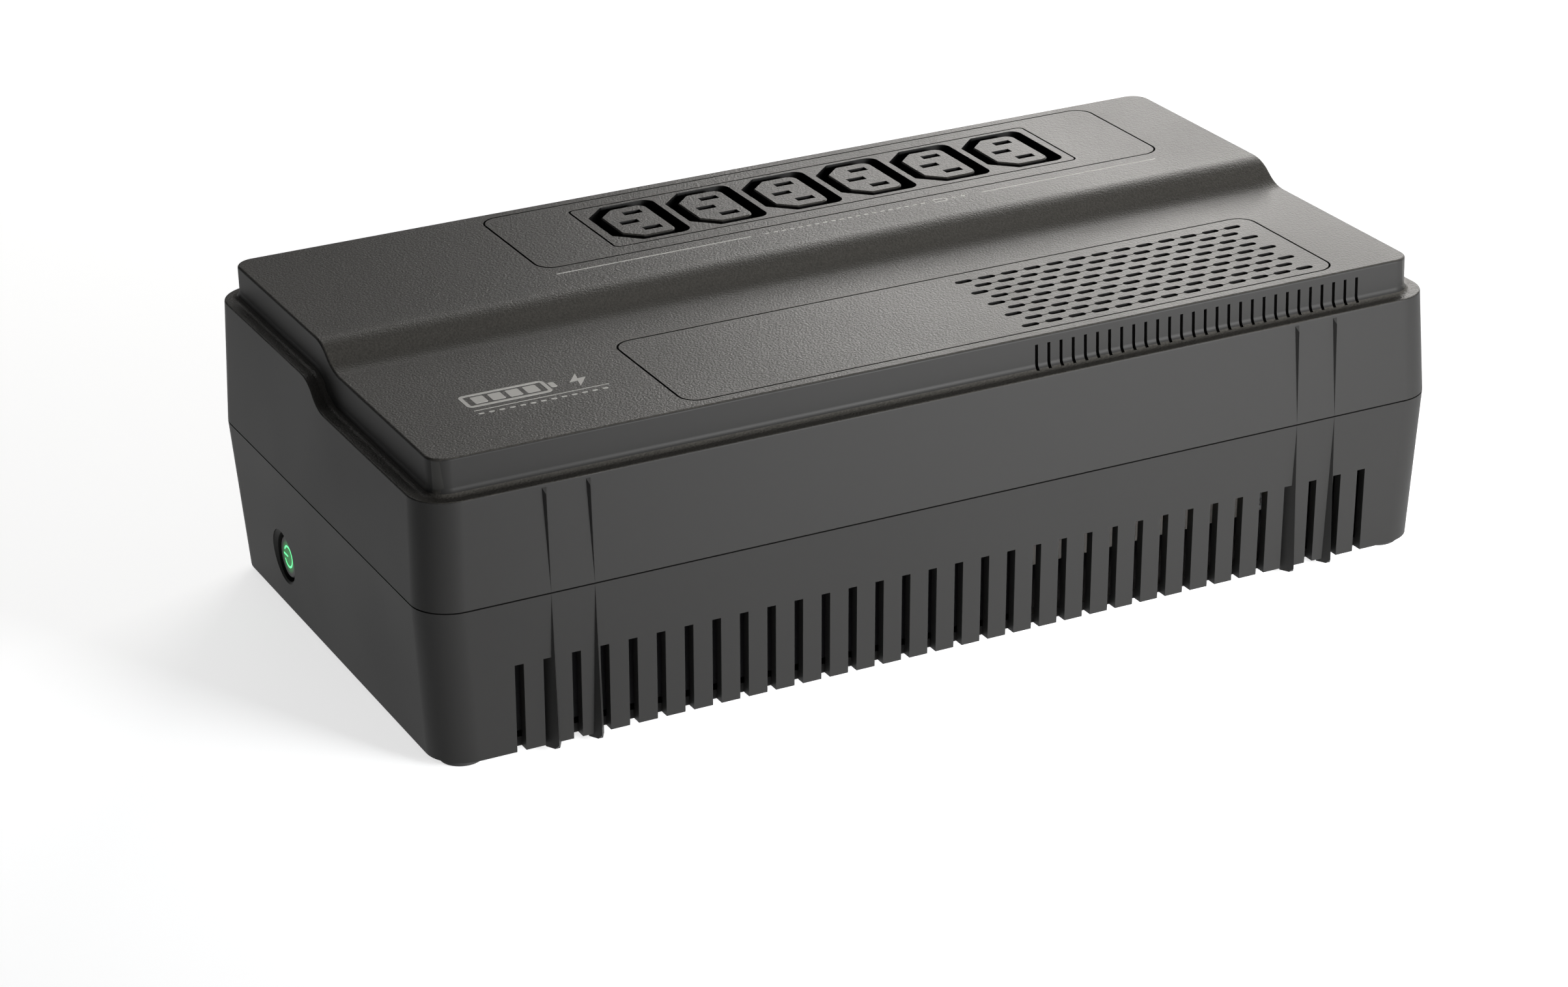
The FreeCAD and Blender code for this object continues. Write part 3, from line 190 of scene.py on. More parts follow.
    def bump(self, height: bpy.types.NodeSocket, depth: float) -> None:
        """Raise the surface by a height field, at full strength.

        Args:
            height: Height socket, 0 to 1.
            depth: Depth in metres.
        """
        node = self.tree.nodes.new("ShaderNodeBump")
        node.inputs["Distance"].default_value = depth
        node.inputs["Strength"].default_value = 1.0
        self.tree.links.new(height, node.inputs["Height"])
        self.link(node.outputs["Normal"], "Normal")

    def colour_by(self, source: bpy.types.NodeSocket, colour: Colour, dark: float,
                  light: float) -> None:
        """Swing the base colour between two shades of one colour.

        Args:
            source: Socket that drives it.
            colour: Colour at a factor of 1.
            dark: Factor at the low end.
            light: Factor at the high end.
        """
        self.link(self.tint(source, shade(colour, dark), shade(colour, light)), "Base Color")

    def roughness_by(self, source: bpy.types.NodeSocket, low: float, high: float) -> None:
        """Swing the roughness between two values."""
        self.link(self.spread(source, low, high), "Roughness")


def shade(colour: Colour, factor: float) -> Colour:
    """The colour, darkened or lightened by a factor."""
    return tuple(min(channel * factor, 1.0) for channel in colour)


@dataclass(frozen=True)
class MouldedPlastic:
    """Injection-moulded plastic with an optional spark grain.

    The gloss pairs are steps of the roughness, down and up. Smooth plastic has a faint ripple. A
    darker colour for upright faces, where one is given, is painted shade: the sides look darker
    than the top only because less light falls on them.
    """

    name: str
    colour: Colour
    roughness: float = 0.45
    grain: Grain = Grain.NONE
    grain_scale: float = 1700.0
    grain_depth: float = 0.06 * MM
    speckle: float = 0.22
    specular: float = 0.28
    # Painted shade: darker colour for upright faces, standing for the light they miss
    upright: Optional[Colour] = None
    drift_scale: float = 14.0
    tone_drift: float = 0.06
    smooth_gloss: tuple[float, float] = (-0.03, 0.03)
    grained_gloss: tuple[float, float] = (-0.02, 0.04)
    ripple_scale: float = 900.0
    ripple_depth: float = 0.008 * MM

    def build(self) -> bpy.types.Material:
        """Make the material: tone and gloss drift slowly, the grain lies on top."""
        bench = NodeBench(self.name)
        drift = bench.noise(self.drift_scale)
        if self.grain is Grain.NONE:
            bench.colour_by(drift, self.colour, 1.0 - self.tone_drift, 1.0 + self.tone_drift)
            gloss = self.smooth_gloss
            bench.bump(bench.noise(self.ripple_scale), self.ripple_depth)
        else:
            self._add_grain(bench)
            gloss = self.grained_gloss
        bench.roughness_by(drift, self.roughness + gloss[0], self.roughness + gloss[1])
        bench.set("Specular IOR Level", self.specular)
        return bench.material

    def _add_grain(self, bench: NodeBench) -> None:
        """Speckle and raise the surface, on all of it or where it faces up, and paint shade onto
        upright faces where a darker colour is given for them.
        """
        mask = bench.upward() if self.grain is Grain.UPWARD else None
        amount = bench.spread(bench.noise(self.grain_scale, 3.0), 0.0, 1.0)
        dark = shade(self.colour, 1.0 - self.speckle)
        light = shade(self.colour, 1.0 + self.speckle)
        tone = bench.tint(amount, dark, light)
        # Painted shade: upright faces take the darker colour, as if the light on the top missed
        # them
        if mask and self.upright:
            tone = bench.tint(mask, self.upright, tone)
        bench.link(tone, "Base Color")
        bench.bump(bench.multiply(amount, mask) if mask else amount, self.grain_depth)


@dataclass(frozen=True)
class DrawnMetal:
    """Rolled, drawn or plated metal with fine lines along one axis.

    The tones are factors of the colour, and the gloss pair is steps of the roughness.
    """

    name: str
    colour: Colour
    roughness: float = 0.32
    stretch: tuple[float, float, float] = (1.0, 18.0, 18.0)
    line_scale: float = 240.0
    line_depth: float = 0.01 * MM
    tones: tuple[float, float] = (0.8, 1.1)
    gloss: tuple[float, float] = (-0.08, 0.1)

    def build(self) -> bpy.types.Material:
        """Make the material."""
        bench = NodeBench(self.name)
        lines = bench.noise(self.line_scale, 3.0, self.stretch)
        bench.colour_by(lines, self.colour, *self.tones)
        bench.roughness_by(lines, self.roughness + self.gloss[0], self.roughness + self.gloss[1])
        bench.set("Metallic", 1.0)
        bench.bump(lines, self.line_depth)
        return bench.material


@dataclass(frozen=True)
class Laminations:
    """Edges of stacked steel sheets with varnish between them."""

    name: str
    colour: Colour
    sheets_per_metre: float = 2000.0
    waviness: float = 0.6
    varnish_tone: float = 0.45
    varnish_depth: float = 0.03 * MM
    metallic: float = 0.7
    roughness: float = 0.5

    def build(self) -> bpy.types.Material:
        """Make the material from bands across the stack, along Y."""
        bench = NodeBench(self.name)
        wave = bench.tree.nodes.new("ShaderNodeTexWave")
        wave.bands_direction = "Y"
        wave.inputs["Scale"].default_value = self.sheets_per_metre / math.tau
        wave.inputs["Distortion"].default_value = self.waviness
        bench.tree.links.new(bench.coordinates, wave.inputs["Vector"])
        bands = wave.outputs["Fac"]
        bench.colour_by(bands, self.colour, self.varnish_tone, 1.0)
        bench.set("Metallic", self.metallic)
        bench.set("Roughness", self.roughness)
        bench.bump(bands, self.varnish_depth)
        return bench.material


@dataclass(frozen=True)
class SoftRubber:
    """Matte rubber, closed-cell foam or a lead's soft insulation."""

    name: str
    colour: Colour
    cell_scale: float = 700.0
    cell_depth: float = 0.05 * MM
    tones: tuple[float, float] = (0.75, 1.3)
    roughness: tuple[float, float] = (0.72, 0.9)

    def build(self) -> bpy.types.Material:
        """Make the material."""
        bench = NodeBench(self.name)
        cells = bench.noise(self.cell_scale, 4.0)
        bench.colour_by(cells, self.colour, *self.tones)
        bench.roughness_by(cells, *self.roughness)
        bench.bump(cells, self.cell_depth)
        return bench.material


@dataclass(frozen=True)
class CircuitLaminate:
    """Green solder mask with copper runs showing through."""

    name: str
    mask: Colour = (0.012, 0.11, 0.045)
    run: Colour = (0.03, 0.2, 0.07)
    mask_variation: float = 1.2
    cell_scale: float = 110.0
    run_width: float = 0.035
    drift_scale: float = 60.0
    roughness: tuple[float, float] = (0.22, 0.34)
    coat: float = 0.4

    def build(self) -> bpy.types.Material:
        """Make the material from square-cornered cells, so that the runs bend at right angles."""
        bench = NodeBench(self.name)
        brick = bench.tree.nodes.new("ShaderNodeTexBrick")
        brick.inputs["Scale"].default_value = self.cell_scale
        brick.inputs["Mortar Size"].default_value = self.run_width
        brick.inputs["Color1"].default_value = (*self.mask, 1.0)
        brick.inputs["Color2"].default_value = (*shade(self.mask, self.mask_variation), 1.0)
        brick.inputs["Mortar"].default_value = (*self.run, 1.0)
        bench.tree.links.new(bench.coordinates, brick.inputs["Vector"])
        bench.link(brick.outputs["Color"], "Base Color")
        bench.roughness_by(bench.noise(self.drift_scale), *self.roughness)
        bench.set("Coat Weight", self.coat)
        return bench.material


@dataclass(frozen=True)
class LitLens:
    """Clear plastic lit from behind, with a fine, faint unevenness in its light."""

    name: str
    colour: Colour
    strength: float
    unevenness_scale: float = 900.0
    dim_tone: float = 0.85
    body_tone: float = 0.3
    roughness: float = 0.2

    def build(self) -> bpy.types.Material:
        """Make the material."""
        bench = NodeBench(self.name)
        uneven = bench.noise(self.unevenness_scale, 1.0)
        glow = bench.tint(uneven, shade(self.colour, self.dim_tone), self.colour)
        bench.link(glow, "Emission Color")
        bench.set("Emission Strength", self.strength)
        bench.set("Base Color", (*shade(self.colour, self.body_tone), 1.0))
        bench.set("Roughness", self.roughness)
        return bench.material


@dataclass(frozen=True)
class CapWithPaintedGlow:
    """Dark button plastic with painted light round its lit symbol: a faint glow, as if the
    symbol's light spilled onto the cap.

    The button's axis runs along X through axis_y and axis_z, and the glow fades between the
    two distances from it.
    """

    name: str
    colour: Colour
    glow: Colour
    strength: float
    axis_y: float = 35.3 * MM
    axis_z: float = 17.9 * MM
    glow_from: float = 3.2 * MM
    glow_to: float = 4.9 * MM
    drift_scale: float = 60.0
    tones: tuple[float, float] = (0.9, 1.1)
    roughness: tuple[float, float] = (0.38, 0.48)
    specular: float = 0.2

    def build(self) -> bpy.types.Material:
        """Make the material: the painted glow fades with the distance from the button's axis."""
        bench = NodeBench(self.name)
        nodes, links = bench.tree.nodes, bench.tree.links
        split = nodes.new("ShaderNodeSeparateXYZ")
        links.new(bench.coordinates, split.inputs["Vector"])
        flat = nodes.new("ShaderNodeCombineXYZ")
        for axis in ("Y", "Z"):
            links.new(split.outputs[axis], flat.inputs[axis])
        reach = nodes.new("ShaderNodeVectorMath")
        reach.operation = "DISTANCE"
        reach.inputs[1].default_value = (0.0, self.axis_y, self.axis_z)
        links.new(flat.outputs["Vector"], reach.inputs[0])
        fade = bench.spread(reach.outputs["Value"], 1.0, 0.0, self.glow_from, self.glow_to)
        drift = bench.noise(self.drift_scale)
        bench.colour_by(drift, self.colour, *self.tones)
        bench.roughness_by(drift, *self.roughness)
        # Painted light: emission on the cap round the symbol, for the symbol's light spilling onto
        # it
        bench.link(bench.tint(fade, (0.0, 0.0, 0.0), self.glow), "Emission Color")
        bench.set("Emission Strength", self.strength)
        bench.set("Specular IOR Level", self.specular)
        return bench.material


@dataclass(frozen=True)
class PrintInk:
    """Thin, matte coloured film, such as printed ink or tape, slightly uneven."""

    name: str
    colour: Colour
    roughness: float = 0.5
    cover_scale: float = 1500.0
    cover_depth: float = 0.02 * MM
    thin_tone: float = 0.85
    gloss: tuple[float, float] = (-0.05, 0.08)

    def build(self) -> bpy.types.Material:
        """Make the material."""
        bench = NodeBench(self.name)
        cover = bench.noise(self.cover_scale)
        bench.colour_by(cover, self.colour, self.thin_tone, 1.0)
        bench.roughness_by(cover, self.roughness + self.gloss[0], self.roughness + self.gloss[1])
        bench.bump(cover, self.cover_depth)
        return bench.material


@dataclass(frozen=True)
class StudioFloor:
    """Pale, almost white paper floor that gives off a little light of its own."""

    name: str
    colour: Colour = (0.86, 0.87, 0.88)
    lift: float = 0.7
    drift_scale: float = 1.5
    drift_tone: float = 0.985
    roughness: float = 0.8
    specular: float = 0.1

    def build(self) -> bpy.types.Material:
        """Make the material with a faint drift in its tone."""
        bench = NodeBench(self.name)
        bench.colour_by(bench.noise(self.drift_scale), self.colour, self.drift_tone, 1.0)
        bench.set("Roughness", self.roughness)
        bench.set("Specular IOR Level", self.specular)
        bench.set("Emission Color", (1.0, 1.0, 1.0, 1.0))
        bench.set("Emission Strength", self.lift)
        return bench.material


COVER_GREY: Colour = (0.042, 0.0398, 0.0356)
# Painted shade: the cover's upright sides get this darker grey; their plastic is the same as the
# top's, only the light on them differs
SHADED_SIDE_GREY: Colour = (0.019, 0.0186, 0.0172)
TRAY_GREY: Colour = (0.02, 0.0198, 0.0194)
INK_WHITE: Colour = (0.62, 0.61, 0.58)

FINISHES = {
    "cover_plastic": MouldedPlastic("cover_plastic", COVER_GREY, 0.38, Grain.UPWARD,
                                    upright=SHADED_SIDE_GREY),
    "tray_plastic": MouldedPlastic("tray_plastic", TRAY_GREY, 0.5, specular=0.12),
    "panel_plastic": MouldedPlastic("panel_plastic", COVER_GREY, 0.38, Grain.ALL_OVER),
    # Painted shade: near-black for gaps, wells and faces below rims, standing for the shade that
    # falls in them
    "painted_shade_black": MouldedPlastic("painted_shade_black", (0.004, 0.004, 0.004), 0.5),
    "contact_brass": DrawnMetal("contact_brass", (0.7, 0.5, 0.2), 0.3),
    "lead_insulation": SoftRubber("lead_insulation", (0.02, 0.02, 0.02), 400.0, 0.01 * MM),
    "red_insulation": SoftRubber("red_insulation", (0.45, 0.02, 0.015), 400.0, 0.01 * MM),
    "battery_plastic": MouldedPlastic("battery_plastic", (0.022, 0.022, 0.024), 0.5),
    "battery_lead_metal": DrawnMetal("battery_lead_metal", (0.25, 0.26, 0.28), 0.6),
    "board_laminate": CircuitLaminate("board_laminate"),
    "cast_aluminium": DrawnMetal("cast_aluminium", (0.65, 0.66, 0.68), 0.3,
                                 stretch=(18.0, 18.0, 1.0)),
    "component_black": MouldedPlastic("component_black", (0.016, 0.016, 0.017), 0.35),
    "fuse_glass": MouldedPlastic("fuse_glass", (0.6, 0.62, 0.62), 0.12),
    "core_steel": Laminations("core_steel", (0.33, 0.31, 0.29)),
    "bobbin_plastic": MouldedPlastic("bobbin_plastic", (0.6, 0.56, 0.45), 0.45),
    "winding_tape": PrintInk("winding_tape", (0.62, 0.4, 0.06), 0.35),
    "zinc_steel": DrawnMetal("zinc_steel", (0.6, 0.61, 0.62), 0.3),
    "button_plastic": CapWithPaintedGlow("button_plastic", (0.022, 0.022, 0.023),
                                 glow=(0.004, 0.16, 0.03), strength=1.0),
    "lit_lens": LitLens("lit_lens", (0.05, 0.95, 0.28), 1.3),
    "lamp_lens": LitLens("lamp_lens", (0.05, 0.8, 0.3), 1.5),
    "inlet_plastic": MouldedPlastic("inlet_plastic", (0.02, 0.02, 0.02), 0.4),
    "nickel_steel": DrawnMetal("nickel_steel", (0.7, 0.69, 0.66), 0.2),
    "foot_rubber": SoftRubber("foot_rubber", (0.018, 0.018, 0.018)),
    "pad_foam": SoftRubber("pad_foam", (0.07, 0.07, 0.075), 900.0, 0.2 * MM),
    "print_ink": PrintInk("print_ink", INK_WHITE),
    "studio_floor": StudioFloor("studio_floor"),
}


@dataclass(frozen=True)
class ShellShading:
    """Gives every corner of a shell the normal of the flat or curved surface that it lies on.

    An edge is a crease above crease_deg, or above flat_break_deg between two wide flat areas.
    Faces within plane_deg of each other lie in one flat area, and it is wide when its mean
    width is more than flat_width. Where a face has no normal, the angle counts as no_angle.
    """

    crease_deg: float = 28.0
    plane_deg: float = 0.25
    flat_break_deg: float = 1.0
    flat_width: float = 4.0 * MM
    no_angle: float = 3.0

    def apply(self, data: bpy.types.Mesh) -> None:
        """Mark the creases and set the corner normals.

        Args:
            data: Mesh of the shell; its shape doesn't change.
        """
        mesh = bmesh.new()
        mesh.from_mesh(data)
        mesh.faces.ensure_lookup_table()
        areas = self._flat_areas(mesh)
        creases = {edge.index for edge in mesh.edges if self._is_crease(edge, areas)}
        corners: dict[tuple[int, int], Vector] = {}
        for vert in mesh.verts:
            for fan in self._fans(vert, creases):
                normal = self._fan_normal(vert, fan, areas)
                corners.update({(face.index, vert.index): normal for face in fan})
        for edge in data.edges:
            edge.use_edge_sharp = edge.index in creases
        data.normals_split_custom_set([corners[face.index, vert.index] for face in mesh.faces
                                       for vert in face.verts])
        mesh.free()

    def _flat_areas(self, mesh: bmesh.types.BMesh) -> dict[int, tuple[float, Vector]]:
        """Size and normal of the wide flat area that holds each face, if one does."""
        found: dict[int, tuple[float, Vector]] = {}
        seen: set[int] = set()
        limit = math.radians(self.plane_deg)
        for start in mesh.faces:
            if start.index in seen:
                continue
            seen.add(start.index)
            patch, queue = [], [start]
            while queue:
                face = queue.pop()
                patch.append(face)
                for edge in face.edges:
                    for other in edge.link_faces:
                        if other.index in seen:
                            continue
                        if start.normal.angle(other.normal, self.no_angle) < limit:
                            seen.add(other.index)
                            queue.append(other)
            size = sum(face.calc_area() for face in patch)
            columns = list(zip(*(vert.co for face in patch for vert in face.verts)))
            spans = [max(column) - min(column) for column in columns]
            if size > self.flat_width * math.hypot(*spans):
                largest = max(patch, key=lambda face: face.calc_area())
                found.update({face.index: (size, largest.normal.copy()) for face in patch})
        return found

    def _is_crease(self, edge: bmesh.types.BMEdge,
                   areas: dict[int, tuple[float, Vector]]) -> bool:
        """Whether the surface breaks at an edge."""
        if len(edge.link_faces) != 2:
            return True
        angle = math.degrees(edge.calc_face_angle(0.0))
        both_flat = all(face.index in areas for face in edge.link_faces)
        return angle > (self.flat_break_deg if both_flat else self.crease_deg)

    @staticmethod
    def _fans(vert: bmesh.types.BMVert, creases: set[int]) -> list[list[bmesh.types.BMFace]]:
        """Faces round a vertex, grouped between creases."""
        left = {face.index: face for face in vert.link_faces}
        fans = []
        while left:
            fan = [left.pop(next(iter(left)))]
            for face in fan:
                for edge in face.edges:
                    if vert not in edge.verts or edge.index in creases:
                        continue
                    for other in edge.link_faces:
                        if other.index in left:
                            fan.append(left.pop(other.index))
            fans.append(fan)
        return fans

    @staticmethod
    def _fan_normal(vert: bmesh.types.BMVert, fan: list[bmesh.types.BMFace],
                    areas: dict[int, tuple[float, Vector]]) -> Vector:
        """Normal that faces share at a vertex: their largest wide flat area's, or their mean."""
        flats = [areas[face.index] for face in fan if face.index in areas]
        if flats:
            return max(flats, key=lambda flat: flat[0])[1]
        total = Vector((0.0, 0.0, 0.0))
        for face in fan:
            corner = next(loop for loop in face.loops if loop.vert is vert)
            total += face.normal * face.calc_area() * corner.calc_angle()
        return total.normalized() if total.length > 0 else fan[0].normal.copy()


class Workshop:
    """Builds each material once and turns meshes into pieces of the object.

    Vertices closer than MERGE_DISTANCE become one, and edges shorter than SLIVER_LENGTH go.
    """

    MERGE_DISTANCE = 0.001 * MM
    SLIVER_LENGTH = 0.0005 * MM

    def __init__(self) -> None:
        """Start with no materials made."""
        self._materials: dict[str, bpy.types.Material] = {}
        self.slots = {part["node"]: part["material_slot"] for part in frame["record"]["subparts"]}

    def material(self, finish: str) -> bpy.types.Material:
        """The material of a finish, made at its first use."""
        if finish not in self._materials:
            self._materials[finish] = FINISHES[finish].build()
        return self._materials[finish]

    def piece(self, name: str, mesh: bmesh.types.BMesh, finish: str, body: str,
              slot: Optional[str] = None) -> bpy.types.Object:
        """Turn a bmesh into an object that rides on a body.

        Args:
            name: Name of the piece.
            mesh: Finished geometry in the CAD frame, in metres; it is freed.
            finish: Key of the finish.
            body: CAD body that carries the piece.
            slot: Material slot of the record, if the finish is one of its slots; not used.

        Returns:
            The new object.
        """
        data = bpy.data.meshes.new(name)
        mesh.to_mesh(data)
        mesh.free()
        data.materials.append(self.material(finish))
        piece = bpy.data.objects.new(name, data)
        bpy.context.scene.collection.objects.link(piece)
        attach(piece, body)
        LOG.info("piece %s: %d faces, on %s", name, len(data.polygons), body)
        return piece

    def dress(self, node: str) -> None:
        """Give a CAD node the finish of its material slot."""
        data = frame["nodes"][node].data
        data.materials.clear()
        data.materials.append(self.material(self.slots[node]))

    def skin(self, node: str, body: str) -> bpy.types.Object:
        """A clean, smooth-shaded shell in a CAD node's exact shape, shown in its place.

        Args:
            node: CAD node that the shell stands for.
            body: CAD body that carries it.

        Returns:
            The new object.
        """
        mesh = bmesh.new()
        mesh.from_mesh(frame["nodes"][node].data)
        bmesh.ops.remove_doubles(mesh, verts=mesh.verts, dist=self.MERGE_DISTANCE)
        bmesh.ops.dissolve_degenerate(mesh, edges=mesh.edges, dist=self.SLIVER_LENGTH)
        for face in mesh.faces:
            face.smooth = True
            face.material_index = 0
        slot = self.slots[node]
        shell = self.piece(node + "_shell", mesh, slot, body, slot)
        ShellShading().apply(shell.data)
        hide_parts(node)
        return shell

    def repaint(self, shell: bpy.types.Object, finish: str,
                chosen: Callable[[Vector, Vector], bool]) -> None:
        """Give part of a shell another finish.

        Args:
            shell: Piece to change.
            finish: Key of the other finish.
            chosen: Says from a face's centre and normal whether it changes.
        """
        shell.data.materials.append(self.material(finish))
        last = len(shell.data.materials) - 1
        for face in shell.data.polygons:
            if chosen(face.center, face.normal):
                face.material_index = last


# ---- mesh shapes -------------------------------------------------------------------------
FEW_SEGMENTS = 3
BETWEEN_GRID_LINES = 0.3  # of a three by three grid: its lines lie at a sixth and at a half


def flat_tile(width: float, depth: float, corner: float, segments: int = 6) -> bmesh.types.BMesh:
    """One rounded rectangular face, centred, at z = 0.

    Args:
        width: Size along X.
        depth: Size along Y.
        corner: Corner radius; 0 leaves the corners square.
        segments: Segments of each corner.

    Returns:
        The new bmesh.
    """
    mesh = bmesh.new()
    bmesh.ops.create_grid(mesh, x_segments=1, y_segments=1, size=0.5)
    bmesh.ops.scale(mesh, vec=(width, depth, 1.0), verts=mesh.verts)
    if corner > 0:
        bmesh.ops.bevel(mesh, geom=mesh.verts, offset=corner, segments=segments, profile=0.5,
                        affect="VERTICES", material=-1)
    return mesh


def thicken(mesh: bmesh.types.BMesh, height: float) -> None:
    """Extrude flat faces upwards into a closed plate."""
    flat = list(mesh.faces)
    grown = bmesh.ops.extrude_face_region(mesh, geom=flat, use_keep_orig=True)
    top = [item for item in grown["geom"] if isinstance(item, bmesh.types.BMVert)]
    bmesh.ops.translate(mesh, verts=top, vec=(0.0, 0.0, height))
    bmesh.ops.recalc_face_normals(mesh, faces=mesh.faces)


def rim_tile(width: float, depth: float, corner: float, line: float) -> bmesh.types.BMesh:
    """Rounded rectangular outline of even line width, flat at z = 0."""
    mesh = flat_tile(width, depth, corner)
    middle = list(mesh.faces)
    bmesh.ops.inset_region(mesh, faces=middle, thickness=line, use_even_offset=True,
                           use_boundary=True)
    bmesh.ops.delete(mesh, geom=middle, context="FACES")
    return mesh


def polygon_tile(points: Iterable[tuple[float, float]]) -> bmesh.types.BMesh:
    """One flat face through a few corner points."""
    mesh = bmesh.new()
    mesh.faces.new([mesh.verts.new((x, y, 0.0)) for x, y in points])
    return mesh


def cross_tile(reach: float, arm: float) -> bmesh.types.BMesh:
    """Plus sign: a three by three grid without its corner cells."""
    mesh = bmesh.new()
    bmesh.ops.create_grid(mesh, x_segments=3, y_segments=3, size=0.5)
    for vert in mesh.verts:
        for axis in (0, 1):
            outer = abs(vert.co[axis]) > BETWEEN_GRID_LINES
            vert.co[axis] = math.copysign(reach / 2 if outer else arm / 2, vert.co[axis])
    corners = [face for face in mesh.faces
               if all(abs(value) > arm / 2 for value in face.calc_center_median().xy)]
    bmesh.ops.delete(mesh, geom=corners, context="FACES")
    return mesh


class Print:
    """A group of flat shapes printed on one level, joined into one thin piece."""

    def __init__(self, level: float, thickness: float = 0.04 * MM) -> None:
        """Start an empty print.

        Args:
            level: Height of the printed surface.
            thickness: Height of the ink.
        """
        self.level = level
        self.thickness = thickness
        self.mesh = bmesh.new()

    def add(self, tile: bmesh.types.BMesh, x: float, y: float) -> None:
        """Thicken a flat tile and lay it down with its middle at (x, y)."""
        thicken(tile, self.thickness)
        bmesh.ops.translate(tile, verts=tile.verts, vec=(x, y, self.level))
        carrier = bpy.data.meshes.new("tile")
        tile.to_mesh(carrier)
        tile.free()
        self.mesh.from_mesh(carrier)
        bpy.data.meshes.remove(carrier)


# ---- sub-assemblies ----------------------------------------------------------------------
@dataclass
class CaseShells:
    """Cover, tray, inlaid panels and feet."""

    shop: Workshop
    plain_shells: tuple[str, ...] = ("base_tray", "foot_front_left", "foot_back_left",
                                     "foot_front_right", "foot_back_right", "case_screws")
    panels: tuple[str, ...] = ("outlet_panel", "vent_panel")
    skirt_x: float = 145.6 * MM
    skirt_y: float = 73.6 * MM
    skirt_steepness: float = 0.6
    gap: float = 0.65 * MM
    skin_depth: float = 0.05 * MM

    def build(self) -> None:
        """Skin every visible shell of the case, and paint the panel sides and the gaps round the
        panels near-black as shade.
        """
        for node in self.plain_shells:
            self.shop.skin(node, CASE_BODY)
        for node in self.panels:
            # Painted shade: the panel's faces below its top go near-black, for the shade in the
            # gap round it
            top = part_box(node)[1].z - self.skin_depth
            self.shop.repaint(self.shop.skin(node, CASE_BODY), "painted_shade_black",
                              lambda centre, _, top=top: centre.z < top)
        cover = self.shop.skin("top_cover", CASE_BODY)
        self.shop.repaint(cover, "tray_plastic", self._on_skirt)
        boxes = [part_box(node) for node in self.panels]
        # Painted shade: the cover's faces in the gaps round the panels go near-black
        self.shop.repaint(cover, "painted_shade_black",
                          lambda centre, _: self._in_panel_gap(centre, boxes))

    def _on_skirt(self, centre: Vector, normal: Vector) -> bool:
        """Whether a face of the cover belongs to its plain outer sides."""
        outside = abs(centre.x) > self.skirt_x or abs(centre.y) > self.skirt_y
        return outside and abs(normal.z) < self.skirt_steepness

    def _in_panel_gap(self, centre: Vector, boxes: Sequence[tuple[Vector, Vector]]) -> bool:
        """Whether a face of the cover lies in the gap round a panel or under the panel."""
        for low, high in boxes:
            level = low.z - self.skin_depth < centre.z < high.z - self.skin_depth
            if level and all(low[axis] - self.gap < centre[axis] < high[axis] + self.gap
                             for axis in (0, 1)):
                return True
        return False


@dataclass
class OutletRow:
    """Outlet strip and six tongues, with painted shade in the wells."""

    shop: Workshop
    count: int = 6
    skin_depth: float = 0.05 * MM
    rim_height: float = 0.38 * MM

    def build(self) -> None:
        """Skin the strip and tongues, and paint everything below their rims near-black as shade.
        """
        self._paint_well_shade("outlet_block", self.skin_depth)
        for index in range(1, self.count + 1):
            self._paint_well_shade(f"outlet_core_{index}", self.rim_height)

    def _paint_well_shade(self, node: str, depth: float) -> None:
        """Skin a node and paint it near-black as shade from a depth below its top."""
        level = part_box(node)[1].z - depth
        # Painted shade: faces below the rim go near-black, for the shade inside the well
        self.shop.repaint(self.shop.skin(node, CASE_BODY), "painted_shade_black",
                          lambda centre, _: centre.z < level)


@dataclass
class ButtonGroup:
    """Power button, its lit symbol and the switch behind it."""

    shop: Workshop

    def build(self) -> None:
        """Skin the visible parts and dress the hidden ones."""
        self.shop.skin("power_button", BUTTON_BODY)
        self.shop.skin("power_lens", BUTTON_BODY)
        for node in ("switch_plunger", "switch_housing", "button_board", "status_led"):
            self.shop.dress(node)


@dataclass
class InletGroup:
    """Mains inlet and the resettable breaker on the end wall."""

    shop: Workshop

    def build(self) -> None:
        """Skin the inlet, its screws and the breaker."""
        for node in ("inlet_housing", "inlet_pins", "inlet_screws", "breaker_body", "breaker_nut"):
            self.shop.skin(node, CASE_BODY)
        self.shop.skin("breaker_button", BREAKER_BODY)
        self.shop.dress("mains_leads")


@dataclass
class Internals:
    """Everything inside that shows only through the vents."""

    shop: Workshop
    nodes: tuple[str, ...] = (
        "outlet_contacts", "live_bus_bar", "earth_bus_bar", "neutral_bus_bar", "outlet_leads",
        "battery_case", "battery_lid", "battery_plates", "battery_terminals", "battery_lead_red",
        "battery_lead_black", "battery_floor_pad", "battery_hold_pad", "main_board", "heatsink",
        "power_transistors", "capacitors", "relays", "board_fuse", "board_connectors",
        "control_chip", "buzzer", "board_screws", "transformer_core", "transformer_bobbin",
        "transformer_winding", "transformer_frame", "transformer_screws")

    def build(self) -> None:
        """Dress each CAD node with its own finish."""
        for node in self.nodes:
            self.shop.dress(node)


